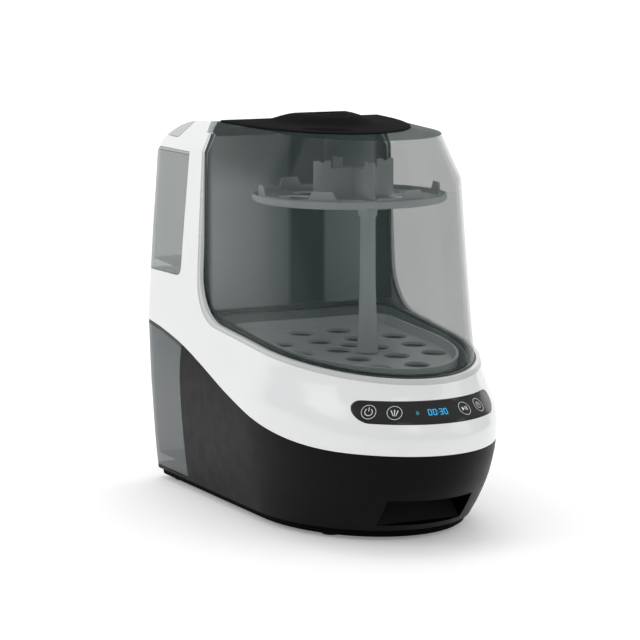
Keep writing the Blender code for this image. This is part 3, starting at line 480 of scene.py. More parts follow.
# Chamber back wall: light bands are painted reflections of the studio on a glossy dark wall, and dark bands
# are painted dark reflection and painted shade at its edges.
DARK_REFLECTION_AND_SHADE = (0.010, 0.018, 0.018)
WALL_REFLECTION_TONES = [(0.0, DARK_REFLECTION_AND_SHADE), (0.035, DARK_REFLECTION_AND_SHADE), (0.06, (0.68, 0.74, 0.73)), (0.2, (0.54, 0.60, 0.59)),
              (0.44, (0.24, 0.28, 0.275)), (0.47, DARK_REFLECTION_AND_SHADE), (0.63, DARK_REFLECTION_AND_SHADE), (0.65, (0.24, 0.28, 0.28)),
              (0.90, (0.36, 0.41, 0.41)), (0.92, DARK_REFLECTION_AND_SHADE)]
WALL_PAINTED_LIGHT = painted_reflection_wall("wall_painted_reflections", WALL_REFLECTION_TONES, 0.4, 0.6)
MILK = clear("rack_milk", (0.68, 0.73, 0.72), 0.80, 0.35, shine=0.3)
SMOKE = clear("cover_smoke", (0.055, 0.076, 0.074), 0.37, 0.05, shine=0.35)
SMOKE_IN = clear("cover_inside", (0.022, 0.036, 0.035), 0.13, 0.08, shine=0.1)
SMOKE_EDGE = clear("cover_edge", (0.03, 0.048, 0.047), 0.95, 0.2, shine=0.2)
SMOKE_TOP = clear("cover_top", (0.030, 0.049, 0.047), 0.80, 0.15, shine=0.0)
CLEAN = clear("tank_clear", (0.27, 0.305, 0.295), 0.56, 0.07, shine=0.3)
CLEAN_IN = clear("tank_clear_inside", (0.22, 0.255, 0.245), 0.24, 0.08, shine=0.1)
CLEAN_FLAT = clear("tank_clear_floor", (0.05, 0.06, 0.057), 0.85, 0.15, shine=0.1)
WASTE = clear("tank_smoke", (0.088, 0.103, 0.113), 0.68, 0.08, shine=0.3)
WASTE_IN = clear("tank_smoke_inside", (0.06, 0.07, 0.077), 0.36, 0.1, shine=0.1)
WASTE_FLAT = clear("tank_smoke_floor", (0.030, 0.038, 0.042), 0.95, 0.2, shine=0.1)
STEEL = metal("brushed_steel", (0.62, 0.62, 0.61), 0.3)
BOARD = plastic("board_green", (0.012, 0.09, 0.035), 0.4, 500.0, 0.00005, 0.2, 0.08)
FLOAT = plastic("float_orange", (0.62, 0.20, 0.04), 0.4)
PUMP = plastic("pump_black", (0.03, 0.03, 0.032), 0.5)
CLOTH = plastic("filter_fleece", (0.66, 0.67, 0.65), 0.92, 320.0, 0.0006, 0.1, 0.04)
PRINT = glow("print_grey", (0.62, 0.64, 0.65), 0.25)
BLUE = glow("display_blue", (0.02, 0.32, 0.62), 0.9)
DIM_BLUE = glow("display_dim", (0.01, 0.13, 0.17), 0.5)


def paint(obj, *mats):
    obj.data.materials.clear()
    for mat in mats:
        obj.data.materials.append(mat)
    return obj


def hang(obj, body, slot, *nodes):
    """Attach a piece to the body it rides on and hide the CAD nodes it stands for; slot is not used."""
    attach(obj, body)
    if nodes:
        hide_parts(*nodes)
    return obj


# ---------------------------------------------------------------- side profiles
def rear_top(offset=0.0):
    """Everything behind and above the rounded rear top edge."""
    curve = [(243.0, 386.0), (237.0, 392.0), (228.0, 399.0), (215.0, 406.0), (200.0, 412.0),
             (183.0, 416.4), (162.0, 419.4), (117.0, 421.6)]
    pts = [(y - offset * 0.6, z - offset * 0.8) for y, z in curve]
    return [(300.0, pts[0][1])] + pts + [(117.0 - offset * 0.6, 480.0), (300.0, 480.0)]


def beside_seam(gap, far):
    """Everything between the seam of shell and base, moved up by the gap, and the height far."""
    ys = np.linspace(-330.0, 300.0, 160)
    return [(y, float(seam_z(y)) + gap) for y in ys] + [(300.0, far), (-330.0, far)]


def cover_profile(gap):
    """The cover's space: the rim plane, a fillet and the rear edge."""
    y1 = COVER_REAR_Y + gap
    slope = math.atan(RIM_SLOPE)
    radius = FILLET - gap
    centre_y = y1 - radius
    centre_z = rim_z(centre_y) + 0.6 - gap + radius / math.cos(slope)
    pts = [(-330.0, rim_z(-330.0) + 0.6 - gap)]
    for a in np.linspace(-math.pi / 2 + slope, 0.0, 9):
        pts.append((centre_y + radius * math.cos(a), centre_z + radius * math.sin(a)))
    return pts + [(y1, SKY), (-330.0, SKY)]


def body_solid(name, inset, low, top_drop=0.0, to=None, step=6.0):
    """The whole body as one solid, inset from the outside."""
    high = to if to else 378.0
    count = max(int((high - low) / step), 1)
    rings = [body_ring(low + (high - low) * k / count, inset) for k in range(count + 1)]
    if not to:
        rings += [body_top_ring(v, inset, top_drop) for v in (0.0, 0.25, 0.5, 0.75, 1.0)]
    return loft(name, rings)


# ---------------------------------------------------------------- points on the nose
def nose_raw(x, z):
    w, b, _ = section(np.array([z]))
    return Vector((x, NOSE_Y - b[0] * math.sqrt(max(1.0 - (x / w[0]) ** 2, 0.0)), z))


def nose_normal(x, z):
    du = nose_raw(x + 0.5, z) - nose_raw(x - 0.5, z)
    dv = nose_raw(x, z + 0.5) - nose_raw(x, z - 0.5)
    return du.cross(dv).normalized()


def nose_point(x, z, inset):
    return nose_raw(x, z) - nose_normal(x, z) * inset


def nose_patch(name, half, low, high, front, back, n=97, rows=12):
    """Slab that follows the nose: rounded ends, front and back measured in from the surface."""
    mid = (low + high) / 2
    h = (high - low) / 2
    grid = []
    for depth in (front, back):
        for k in range(n):
            x = half * math.sin(math.pi / 2 * (2 * k / (n - 1) - 1))
            over = max(abs(x) - (half - h), 0.0) / h
            reach = max(h * math.sqrt(max(1.0 - over * over, 0.0)), 0.8)
            heights = [mid - reach + 2 * reach * j / rows for j in range(rows + 1)]
            grid += [tuple(nose_point(x, z, depth)) for z in heights]
    m = rows + 1
    off = n * m
    faces = []
    for i in range(n - 1):
        for j in range(rows):
            a = i * m + j
            faces.append((a, a + m, a + m + 1, a + 1))
            faces.append((off + a, off + a + 1, off + a + m + 1, off + a + m))
        a = i * m
        faces.append((a, off + a, off + a + m, a + m))
        a = i * m + rows
        faces.append((a, a + m, off + a + m, off + a))
    for j in range(rows):
        a = (n - 1) * m + j
        faces.append((j, j + 1, off + j + 1, off + j))
        faces.append((a, off + a, off + a + 1, a + 1))
    return to_mesh(name, grid, faces)


# ---------------------------------------------------------------- casing
def make_shell():
    shell = body_solid("shell_skin", 0.0, 92.0)
    cut(shell, [prism("rear_top", rear_top(), -WIDE, WIDE)])
    inner = body_solid("inner", WALL, 84.0, top_drop=WALL)
    cut(inner, [prism("rear_top_in", rear_top(WALL), -WIDE, WIDE)])
    cut(shell, [inner, prism("below", beside_seam(0.7, -40.0), -WIDE, WIDE)])
    space = cover_profile(0.6)
    space[-2:] = [(SHELL_FRONT_Y, 407.5), (HINGE_Y + 8.5, 409.5), (HINGE_Y + 8.5, SKY), (-330.0, SKY)]
    cut(shell, [prism("cover_space", space, -WIDE, WIDE)])
    corner = 11.0
    window = [(BAY_FRONT_TOP, CLEAN_TOP)]
    for a in np.linspace(math.pi, 1.5 * math.pi, 10):
        window.append((BAY_FRONT_LOW + corner * (1.0 + math.cos(a)),
                       CLEAN_FLOOR + corner * (1.0 + math.sin(a))))
    window += [(300.0, CLEAN_FLOOR), (300.0, CLEAN_TOP)]
    cut(shell, [prism("window", window, -WIDE, WIDE)])
    space = [(192.0, GRIP_LOW), (164.0, 419.0), (164.0, 480.0), (320.0, 480.0), (320.0, GRIP_LOW)]
    cut(shell, [prism("grip_space", space, -WIDE, WIDE)])
    cut(shell, [nose_patch("strip", 82.0, 132.8, 154.6, -6.0, 9.0)])
    band = cover_profile(LEDGE_WIDTH)
    band[-2:] = [(COVER_REAR_Y + LEDGE_WIDTH, LEDGE_TOP), (-330.0, LEDGE_TOP)]
    ledge = prism("ledge", band, -WIDE, WIDE)
    cut(ledge, [body_solid("ledge_core", LEDGE_DEPTH, 84.0, top_drop=LEDGE_DEPTH)])
    cut(shell, [ledge])
    # The ledge's faces take the grey of painted shade.
    paint(shell, WHITE, LEDGE_PAINTED_SHADE)
    for poly in shell.data.polygons:
        c = poly.center / MM
        if on_ledge(c, poly.normal):
            poly.material_index = 1
    soften(shell, 0.7)
    hang(shell, "casing", "shell_white", "body_shell")


def on_ledge(c, n):
    """Faces of the shallow step that runs round the cover's opening."""
    if c.z > LEDGE_TOP or c.y > COVER_REAR_Y + LEDGE_WIDTH + 0.2 or abs(n.z) > 0.8:
        return False
    if c.z < rim_z(c.y) - LEDGE_WIDTH + 0.8:
        return False
    if c.y <= NOSE_Y:
        return Vector((c.x, c.y - NOSE_Y, 0.0)).dot(n) > 0
    w, _, r = section(c.z)
    width = w + (r - w) * (c.y - NOSE_Y) / (REAR_Y - NOSE_Y)
    return abs(abs(c.x) - (width - LEDGE_DEPTH)) < 0.25


def make_grip():
    grip = body_solid("grip_skin", 0.0, 300.0)
    cut(grip, [prism("grip_top", rear_top(), -WIDE, WIDE)])
    inner = body_solid("grip_in", 4.0, 290.0, top_drop=4.0)
    cut(inner, [prism("grip_top_in", rear_top(4.0), -WIDE, WIDE)])
    core = [(199.0, 280.0), (199.0, GRIP_LOW + 0.1), (173.0, 417.5), (173.0, 470.0), (320.0, 470.0),
            (320.0, 280.0)]
    cut(inner, [prism("grip_core", core, -WIDE, WIDE)], "INTERSECT")
    cut(grip, [inner])
    keep = [(192.9, GRIP_LOW + 0.5), (165.1, 419.2), (165.1, 475.0), (320.0, 475.0),
            (320.0, GRIP_LOW + 0.5)]
    cut(grip, [prism("grip_keep", keep, -WIDE, WIDE)], "INTERSECT")
    paint(soften(grip, 0.8), GREY)
    hang(grip, "casing", "grip_grey", "rear_grip")


def make_base():
    base = body_solid("base_skin", 0.0, BASE_FOOT, to=215.0, step=4.5)
    hollow = body_solid("hollow", 4.0, 16.3, to=225.0, step=9.0)
    block = [(-300.0, 8.0), (-164.0, 8.0), (-122.0, 45.0), (-122.0, 55.0), (-300.0, 55.0)]
    cut(hollow, [prism("block", block, -56.0, 56.0)])
    cut(base, [hollow, prism("above", beside_seam(0.0, SKY), -WIDE, WIDE)])
    cut(base, [box("bay", (-WIDE, 145.6, 16.0), (WIDE, 300.0, 300.0))])
    opening = [(-50.0, 19.0), (50.0, 19.0), (50.0, 50.0), (-50.0, 50.0)]
    recess = prism("recess", opening, -300.0, -120.0, "Y")
    slope = [(-310.0, 10.0), (-187.0, 10.0), (-130.0, 54.0), (-310.0, 54.0)]
    cut(recess, [prism("slope", slope, -80.0, 80.0)], "INTERSECT")
    cut(base, [recess])
    paint(base, BLACK, RECESS)
    for poly in base.data.polygons:
        if poly.normal.y < -0.4 and poly.normal.z > 0.4 and abs(poly.center.x) < 50.0 * MM:
            poly.material_index = 1
    soften(base, 0.8)
    hang(base, "casing", "base_black", "base_housing")


# ---------------------------------------------------------------- cover
def cover_ring(u, v, inset, drop=0.0):
    """Cover outline: u from the rim plane to the crease, v from the crease to the top plane."""
    back = 150.0 if drop else 140.0
    w = 114.0 - 2.5 * u - 22.5 * v - inset
    nose = 177.5 - 58.0 * u + 7.5 * u * u - 19.0 * v - 4.0 * v * (1 - v) - inset
    rear = 118.5 - 2.5 * u - 13.6 * v - inset
    end = w + (rear - w) * (back - NOSE_Y) / (SHELL_FRONT_Y - NOSE_Y)
    side = [(w + (end - w) * s, NOSE_Y + (back - NOSE_Y) * s) for s in np.linspace(0.1, 1.0, 10)]
    turn = np.linspace(0.0, math.pi, 121)
    pts = side + [(-x, y) for x, y in side[::-1]]
    pts += [(-w * math.cos(a), NOSE_Y - nose * math.sin(a)) for a in turn]
    pts = np.array(pts)
    y = pts[:, 1]
    crease = 362.0 + 0.104 * (y + 159.0) - 0.3 * drop
    low = rim_z(y) - 12.0
    z = crease + (top_z(y) - drop - crease) * v if v else low + (crease - low) * u
    return np.stack([pts[:, 0], y, z], 1)


def cover_solid(name, inset, drop=0.0):
    start = -0.05 if drop else 0.0
    rings = [cover_ring(u, 0.0, inset, drop) for u in np.linspace(start, 1.0, 26)]
    rings += [cover_ring(1.0, v, inset, drop) for v in np.linspace(0.1, 1.0, 10)]
    return loft(name, rings)


def cover_side():
    side = cover_profile(0.0)
    side[-2:] = [(COVER_REAR_Y, 409.0), (103.0, 409.0), (103.0, SKY), (-330.0, SKY)]
    return side


SKINS = {"out": 0, "in": 1, "edge": 2, "top": 3}


def sort_faces(obj, which):
    """Give the skins of a clear shell materials of their own.

    which is a function that names a face's skin from its centre, in millimetres, and its normal.
    """
    for poly in obj.data.polygons:
        poly.material_index = SKINS[which(poly.center / MM, poly.normal)]


def cover_face(c, n):
    """Which skin of the cover a face belongs to."""
    if n.z > 0.9 and c.z > 405.0:
        return "top"
    if c.y > COVER_REAR_Y - 0.2 or (n.z < -0.5 and c.z < 260.0):
        return "edge"
    if c.y > 50.0 and n.x ** 2 < 0.1 and c.z < 262.0:
        return "edge"
    radial = Vector((c.x, min(c.y, 0.0) * 0.4, max(c.z - 330.0, 0.0) * 1.2))
    return "out" if n.dot(radial) > 0 else "in"


def make_cover():
    cover = cover_solid("cover_skin", 0.0)
    cut(cover, [cover_solid("cover_in", 3.0, 3.0)])
    cut(cover, [prism("cover_side", cover_side(), -WIDE, WIDE)], "INTERSECT")
    paint(cover, SMOKE, SMOKE_IN, SMOKE_EDGE, SMOKE_TOP)
    sort_faces(cover, cover_face)
    soften(cover, 0.7, 2)
    hang(cover, "cover", "cover_smoke", "cover_shell")


# the pad's crown: inset from its outline, height over the top plane
PAD_CROWN = [(0.0, 0.35), (0.15, 1.3), (1.5, 2.1), (12.0, 2.4), (24.0, 2.8), (31.0, 3.2), (38.0, 3.9),
             (43.0, 4.8), (47.0, 6.0), (51.0, 7.6), (55.0, 9.2), (59.0, 10.6), (63.0, 11.8), (67.5, 12.6),
             (72.0, 13.0)]


def pad_ring(inset, height):
    """Outline of the black top pad: a straight rear edge and a round nose, drawn in by the inset."""
    length = PAD_LENGTH - 1.75 * inset
    back = 102.6 - 0.75 * max(inset - 1.5, 0.0)
    ys = back - length * np.sin(np.linspace(0.0, math.pi / 2, 60))
    half = (98.0 - inset) * np.sqrt(1.0 - ((back - ys) / length) ** 2.3)
    right = [(max(h, 0.6), y) for h, y in zip(half[::-1], ys[::-1])]
    left = [(-x, y) for x, y in right[::-1]]
    return np.array([(x, y, float(top_z(y)) + height) for x, y in right + left])


def make_trim():
    pad = loft("trim_pad", [pad_ring(inset, height) for inset, height in PAD_CROWN])
    seat_z = float(top_z(VENT_Y)) + VENT_SINK
    cut(pad, [lathe("vent_seat", [(17.4, 0.0), (17.4, 20.0)], (0.0, VENT_Y, seat_z))])
    for row in range(3):
        for col in range(4):
            x = -50.0 + col * 4.6 + (2.3 if row % 2 else 0.0)
            y = 6.0 + row * 5.4
            cut(pad, [lathe("side_hole", [(0.9, 3.2), (0.9, 30.0)], (x, y, float(top_z(y))), n=12)])
    paint(soften(pad, 0.4, 2), TRIM)
    hang(pad, "cover", "trim_black", "cover_trim")
    vent = lathe("vent_skin", [(17.0, 0.0), (17.0, 0.8), (16.5, 1.1)], (0.0, VENT_Y, seat_z + 0.35))
    for k in range(19):
        ring = 0 if k == 0 else (1 if k < 7 else 2)
        a = math.pi / 3 * k if ring == 1 else math.pi / 6 * k
        spot = (6.2 * ring * math.cos(a), VENT_Y + 6.2 * ring * math.sin(a), seat_z - 3.0)
        cut(vent, [lathe("vent_hole", [(1.5, 0.0), (1.5, 20.0)], spot, n=16)])
    paint(soften(vent, 0.2, 2), TRIM)
    hang(vent, "cover", "trim_black", "steam_vent")


make_shell()
make_grip()
make_base()
make_cover()
make_trim()


# ---------------------------------------------------------------- tanks
def tank_face(c, n):
    """Which skin of a tank a face belongs to: level faces are edges, and outside faces look away."""
    away = Vector((c.x, c.y - 195.0, 0.0))
    if abs(n.z) > 0.7:
        return "edge"
    return "out" if n.dot(away) > 0 else "in"


def make_clean_tank():
    corner = 10.5
    side = [(BAY_FRONT_TOP + 0.7, CLEAN_TOP - 3.6)]
    for a in np.linspace(math.pi, 1.5 * math.pi, 10):
        side.append((BAY_FRONT_LOW + 11.2 + corner * math.cos(a),
                     CLEAN_FLOOR + 11.2 + corner * math.sin(a)))
    side += [(300.0, CLEAN_FLOOR + 0.7), (300.0, CLEAN_TOP - 3.6)]
    tank = body_solid("clean_skin", 0.0, 225.0)
    core = body_solid("clean_core", 3.0, 225.0)
    core_side = [(BAY_FRONT_TOP + 4.0, 398.0), (BAY_FRONT_LOW + 4.5, CLEAN_FLOOR + 7.0),
                 (300.0, CLEAN_FLOOR + 16.0), (300.0, 398.0)]
    cut(core, [prism("core_side", core_side, -WIDE, WIDE)], "INTERSECT")
    cut(tank, [prism("tank_side", side, -WIDE, WIDE)], "INTERSECT")
    cut(tank, [core, lathe("outlet", [(5.4, 0.0), (5.4, 40.0)], (0.0, 190.0, 230.0), n=40)])
    paint(tank, CLEAN, CLEAN_IN, CLEAN_FLAT)
    sort_faces(tank, tank_face)
    hang(soften(tank, 0.7, 2), "clean_tank_body", "tank_clear", "clean_tank")
    lid = body_solid("clean_lid", 0.2, 225.0)
    low, high = CLEAN_TOP - 3.2, CLEAN_TOP - 0.5
    slab = [(BAY_FRONT_TOP + 0.7, low), (300.0, low), (300.0, high), (BAY_FRONT_TOP + 0.7, high)]
    cut(lid, [prism("slab", slab, -WIDE, WIDE)], "INTERSECT")
    paint(soften(lid, 0.5, 2), LID)
    hang(lid, "clean_tank_body", "part_grey", "clean_tank_lid")


def make_waste_tank():
    tank = body_solid("waste_skin", 0.0, 16.8, to=205.0)
    core = body_solid("waste_core", 3.0, 30.0, to=215.0)
    cut(core, [box("core_front", (-200.0, -300.0, 0.0), (200.0, 150.0, 300.0))])
    cut(tank, [box("tank_front", (-200.0, -300.0, 0.0), (200.0, TANK_FRONT, 300.0)), core])
    cut(tank, [prism("tank_top", beside_seam(-3.6, SKY), -WIDE, WIDE)])
    paint(tank, WASTE, WASTE_IN, WASTE_FLAT)
    sort_faces(tank, tank_face)
    hang(soften(tank, 0.7, 2), "waste_tank_body", "tank_smoke", "waste_tank")
    lid = body_solid("waste_lid", 0.2, 100.0, to=215.0)
    cut(lid, [box("lid_front", (-200.0, -300.0, 0.0), (200.0, TANK_FRONT, 300.0)),
              prism("lid_top", beside_seam(-0.4, SKY), -WIDE, WIDE),
              prism("lid_low", beside_seam(-3.2, -40.0), -WIDE, WIDE)])
    paint(soften(lid, 0.5, 2), PUMP)
    hang(lid, "waste_tank_body", "inner_black", "waste_tank_lid")


# ---------------------------------------------------------------- touch strip
def panel_axes(x, z):
    """Right, up and outward directions on the strip at a place."""
    out = nose_normal(x, z)
    right = Vector((0.0, 0.0, 1.0)).cross(-out).normalized()
    right = -right if right.x < 0 else right
    return right, out.cross(right), out


def print_mesh(name, parts, x, z, lift, thick=0.12):
    """Thin printed shapes laid on the strip. Each part is a closed outline of (right, up) points."""
    right, up, out = panel_axes(x, z)
    base = nose_point(x, z, 0.0) + out * lift
    verts = []
    faces = []
    for outline in parts:
        n = len(outline)
        first = len(verts)
        for depth in (0.0, -thick):
            for a, b in outline:
                verts.append(tuple(base + right * a + up * b + out * depth))
        faces.append(tuple(range(first, first + n)))
        faces.append(tuple(range(first + 2 * n - 1, first + n - 1, -1)))
        for k in range(n):
            j = (k + 1) % n
            faces.append((first + k, first + n + k, first + n + j, first + j))
    return to_mesh(name, verts, faces)


def arc_parts(radius, width, start, end, n=48):
    """An arc as short quads, so that each outline stays simple."""
    parts = []
    for k in range(n):
        a = start + (end - start) * k / n
        b = start + (end - start) * (k + 1) / n
        low = radius - width / 2
        high = radius + width / 2
        parts.append([(low * math.cos(a), low * math.sin(a)), (high * math.cos(a), high * math.sin(a)),
                      (high * math.cos(b), high * math.sin(b)), (low * math.cos(b), low * math.sin(b))])
    return parts


def bar(x0, y0, x1, y1, w0, w1=None):
    """A straight stroke, which may taper."""
    w1 = w0 if w1 is None else w1
    d = math.hypot(x1 - x0, y1 - y0)
    nx, ny = -(y1 - y0) / d / 2, (x1 - x0) / d / 2
    return [(x0 + nx * w0, y0 + ny * w0), (x0 - nx * w0, y0 - ny * w0),
            (x1 - nx * w1, y1 - ny * w1), (x1 + nx * w1, y1 + ny * w1)]


def icon(kind):
    if kind == "power":
        ring = arc_parts(4.0, 0.75, math.radians(125), math.radians(415))
        return ring + [bar(0.0, 0.8, 0.0, 5.2, 0.75)]
    if kind == "wash":
        return [bar(s * 1.3, -3.6, s * 3.6, 3.6 - abs(s) * 0.8, 0.7, 1.1) for s in (-1.0, 0.0, 1.0)]
    if kind == "start":
        arrow = [(-3.6, -2.4), (0.2, 0.0), (-3.6, 2.4)]
        return [arrow, bar(1.6, -2.4, 1.6, 2.4, 0.9), bar(3.6, -2.4, 3.6, 2.4, 0.9)]
    hands = [bar(0.0, 0.0, 0.0, 2.5, 0.6), bar(0.0, 0.0, 1.9, 0.0, 0.6)]
    return arc_parts(3.4, 0.6, 0.0, 2 * math.pi) + hands


SEGMENTS = {"0": "abcdef", "3": "abgcd"}


def digit(text, x, height, width, stroke):
    """A seven-segment figure with its centre at x."""
    h, w = height / 2, width / 2
    runs = {"a": (-w, h, w, h), "b": (w, h, w, 0.0), "c": (w, 0.0, w, -h), "d": (-w, -h, w, -h),
            "e": (-w, 0.0, -w, -h), "f": (-w, h, -w, 0.0), "g": (-w, 0.0, w, 0.0)}
    return [bar(x + runs[s][0], runs[s][1], x + runs[s][2], runs[s][3], stroke) for s in SEGMENTS[text]]


def make_strip():
    lens = nose_patch("strip_lens", 81.5, 133.4, 154.0, 0.5, 2.7)
    for name, x in KEYS:
        n = nose_normal(x, PANEL_Z)
        p = nose_point(x, PANEL_Z, 0.0)
        cut(lens, [rod("hole", tuple(p + n * 4), tuple(p - n * 6), KEY_R + 0.25, 96)])
        cap = rod(name + "_cap", tuple(p - n * 0.42), tuple(p - n * 2.6), KEY_R + 0.05, 96)
        paint(soften(cap, 0.2, 2), GLOSS)
        hang(cap, name + "_button", "key_black", name + "_key")
        shapes = icon(name) + arc_parts(7.7, 0.55, 0.0, 2 * math.pi, 72)
        mark = print_mesh(name + "_mark", shapes, x, PANEL_Z, -0.36)
        paint(mark, PRINT)
        hang(mark, name + "_button", "key_black")
    paint(soften(lens, 0.35, 2, 40.0), GLOSS)
    hang(lens, "casing", "lens_black", "control_lens")
    marks = []
    for text, x in (("0", -13.0), ("0", -7.6), ("3", -0.6), ("0", 4.8)):
        piece = print_mesh("figure", digit(text, 0.0, 6.6, 3.2, 0.75), x, PANEL_Z, -0.3, 0.25)
        marks.append(paint(piece, BLUE))
    dots = [bar(-0.35, y, 0.35, y, 0.7) for y in (-1.4, 1.4)]
    marks.append(paint(print_mesh("colon", dots, -4.1, PANEL_Z, -0.3, 0.25), BLUE))
    turns = np.linspace(0.0, 2 * math.pi, 24, endpoint=False)
    drop = [(2.3 * math.sin(t) * math.sin(t / 2), 2.6 * math.cos(t)) for t in turns]
    marks.append(paint(print_mesh("drop", [drop], -26.0, PANEL_Z, -0.3, 0.25), DIM_BLUE))
    hang(join("display_figures", marks), "casing", "lens_black")


# ---------------------------------------------------------------- chamber
def tub_ring(inset, height, rear=104.0):
    turn = np.linspace(0.0, math.pi, 121)
    w, nose = TUB_HALF - inset, TUB_NOSE - inset
    back = rear - inset
    pts = [(w, back * 0.2), (w, back * 0.55), (w, back - 16.0)]
    pts += [(w - 16.0 + 16.0 * math.cos(a), back - 16.0 + 16.0 * math.sin(a))
            for a in np.linspace(math.radians(12), math.radians(90), 8)]
    pts = pts + [(-x, y) for x, y in pts[::-1]]
    pts += [(-w * math.cos(a), NOSE_Y - nose * math.sin(a)) for a in turn]
    pts = np.array(pts)
    z = height(pts[:, 1]) if callable(height) else np.full(len(pts), float(height))
    return np.stack([pts[:, 0], pts[:, 1], z], 1)


def deck_ring(height):
    """Outer edge of the tub's flange, just inside the shell, with the tub's point order."""
    out = []
    for x, y, _ in tub_ring(0.0, 0.0):
        w, b, r = [float(v[0]) for v in section(np.array([float(height(y))]))]
        if y > NOSE_Y:
            edge = w + (r - w) * (y - NOSE_Y) / (REAR_Y - NOSE_Y) - 5.6
            px = math.copysign(edge - (TUB_HALF - abs(x)), x)
            py = y + 3.4 * max(0.0, (y - 88.0) / 16.0)
        else:
            t = math.atan2(-(y - NOSE_Y) / TUB_NOSE, x / TUB_HALF)
            px = (w - 5.6) * math.cos(t)
            py = NOSE_Y - (b - 5.6) * math.sin(t)
        out.append((px, py, float(height(py))))
    return np.array(out)


def deck_top(y):
    return rim_z(y) - 0.5


def deck_low(y):
    return rim_z(y) - 3.5


def make_tub():
    tub = loft("tub_skin", [tub_ring(10.0, TUB_FLOOR - 2.6), tub_ring(-2.6, lambda y: deck_low(y) - 3.0),
                            tub_ring(-3.0, deck_low), deck_ring(deck_low), deck_ring(deck_top),
                            tub_ring(0.0, deck_top), tub_ring(1.0, lambda y: deck_top(y) - 3.0),
                            tub_ring(13.0, TUB_FLOOR)])
    cut(tub, [lathe("drain", [(27.0, 100.0), (27.0, 190.0)], (0.0, CENTRE_Y, 0.0))])
    paint(soften(tub, 0.8, 2), TUB)
    hang(tub, "casing", "tub_grey", "wash_tub")


def make_rack():
    rack = loft("rack_skin", [tub_ring(9.5, lambda y: 181.0 + 0.06 * y, RACK_BACK),
                              tub_ring(7.5, lambda y: 194.0 + 0.06 * y, RACK_BACK),
                              tub_ring(10.5, lambda y: 194.0 + 0.06 * y, RACK_BACK),
                              tub_ring(12.5, lambda y: 184.5 + 0.06 * y, RACK_BACK)])
    for i in range(4):
        for j in range(5):
            x = (i - 1.5) * RACK_PITCH
            y = RACK_HOLES_Y + (j - 2) * RACK_PITCH
            if y < 64.0 and (x / 80.0) ** 2 + ((y - NOSE_Y) / 132.0) ** 2 < 1.02:
                cut(rack, [lathe("rack_hole", [(14.0, 150.0), (14.0, 230.0)], (x, y, 0.0), n=40)])
    cut(rack, [lathe("rack_eye", [(12.0, 150.0), (12.0, 230.0)], (0.0, CENTRE_Y, 0.0), n=48)])
    paint(soften(rack, 0.6, 2), MILK)
    hang(rack, "rack", "rack_milk", "lower_rack")
    column = lathe("column_skin", [(8.0, 181.9), (11.6, 181.9), (11.2, 186.0), (10.4, 200.0), (8.4, 260.0),
                                   (8.0, 327.0), (10.2, 330.0), (10.2, 341.6), (5.6, 341.6), (5.6, 260.0)],
                   (0.0, COLUMN_Y, 0.0), closed=True)
    paint(soften(column, 0.4, 2), MILK)
    hang(column, "rack", "rack_milk", "centre_column")


def turn(obj, angle, centre_y):
    for v in obj.data.vertices:
        x, y = v.co.x, v.co.y
        v.co.x = x * math.cos(angle) - y * math.sin(angle)
        v.co.y = x * math.sin(angle) + y * math.cos(angle) + centre_y * MM


def make_tray():
    shape = [(TRAY_R - 3.0, TRAY_Z), (TRAY_R, TRAY_Z + 2.0), (TRAY_R, TRAY_Z + 8.0),
             (TRAY_R - 2.0, TRAY_Z + 8.0), (TRAY_R - 2.0, TRAY_FLOOR), (TRAY_R - 7.0, TRAY_FLOOR),
             (TRAY_R - 7.0, TAB_Z), (TRAY_R - 9.0, TAB_Z), (TRAY_R - 9.0, TRAY_FLOOR), (4.0, TRAY_FLOOR),
             (4.0, TRAY_Z + 1.5), (TRAY_R - 6.0, TRAY_Z + 1.5), (TRAY_R - 5.0, TRAY_Z)]
    tray = lathe("tray_skin", shape, (0.0, CENTRE_Y, 0.0), n=180, closed=True)
    gap_shape = [(-34.0, TRAY_Z + 8.4), (34.0, TRAY_Z + 8.4), (42.0, TAB_Z + 5.0), (-42.0, TAB_Z + 5.0)]
    for k in range(6):
        gap = prism("tab_gap", gap_shape, 84.0, 103.0, "Y")
        turn(gap, math.radians(TAB_TURN + 60.0 * k), CENTRE_Y)
        cut(tray, [gap])
    for k in range(8):
        a = math.pi / 8 + math.pi / 4 * k
        spot = (60.0 * math.cos(a), CENTRE_Y + 60.0 * math.sin(a), 300.0)
        cut(tray, [lathe("tray_hole", [(17.0, 0.0), (17.0, 60.0)], spot, n=48)])
    paint(soften(tray, 0.4, 2), MILK)
    hang(tray, "tray", "rack_milk", "upper_tray")
    half = [(28.0, 378.0), (28.0, HORN_Z), (34.5, HORN_Z), (38.0, HORN_Z - 2.9), (41.5, HORN_Z),
            (48.0, HORN_Z), (48.0, TRAY_FLOOR + 0.3)]
    horns = half + [(-x, z) for x, z in half[::-1]]
    holder = prism("holder_skin", horns, HOLDER_Y - 1.3, HOLDER_Y + 1.3, "Y")
    across = [(y + HOLDER_Y, z) for y, z in horns]
    cut(holder, [prism("cross_plate", across, -1.3, 1.3)], "UNION")
    paint(soften(holder, 0.4, 2), MILK)
    hang(holder, "tray", "rack_milk", "tray_holders")


CARRIED = {"bottom_plate": PLINTH, "rear_bulkhead": INNER, "tank_shelf": INNER, "display_module": PUMP,
           "display_board": BOARD, "hinge_barrel": TRIM, "hinge_pin_left": TRIM, "hinge_pin_right": TRIM,
           "cover_seal": SEAL, "tank_valve": LID, "waste_float": FLOAT, "chamber_back_wall": WALL_PAINTED_LIGHT,
           "sump_filter": STEEL, "spray_arm": LID, "wash_pump": PUMP, "pump_impeller": LID,
           "pump_shaft": STEEL, "heater": STEEL, "drain_pump": PUMP, "fill_pump": PUMP,
           "blower_housing": PUMP, "blower_fan": LID, "air_filter": CLOTH, "main_board": BOARD,
           "power_inlet": PUMP}


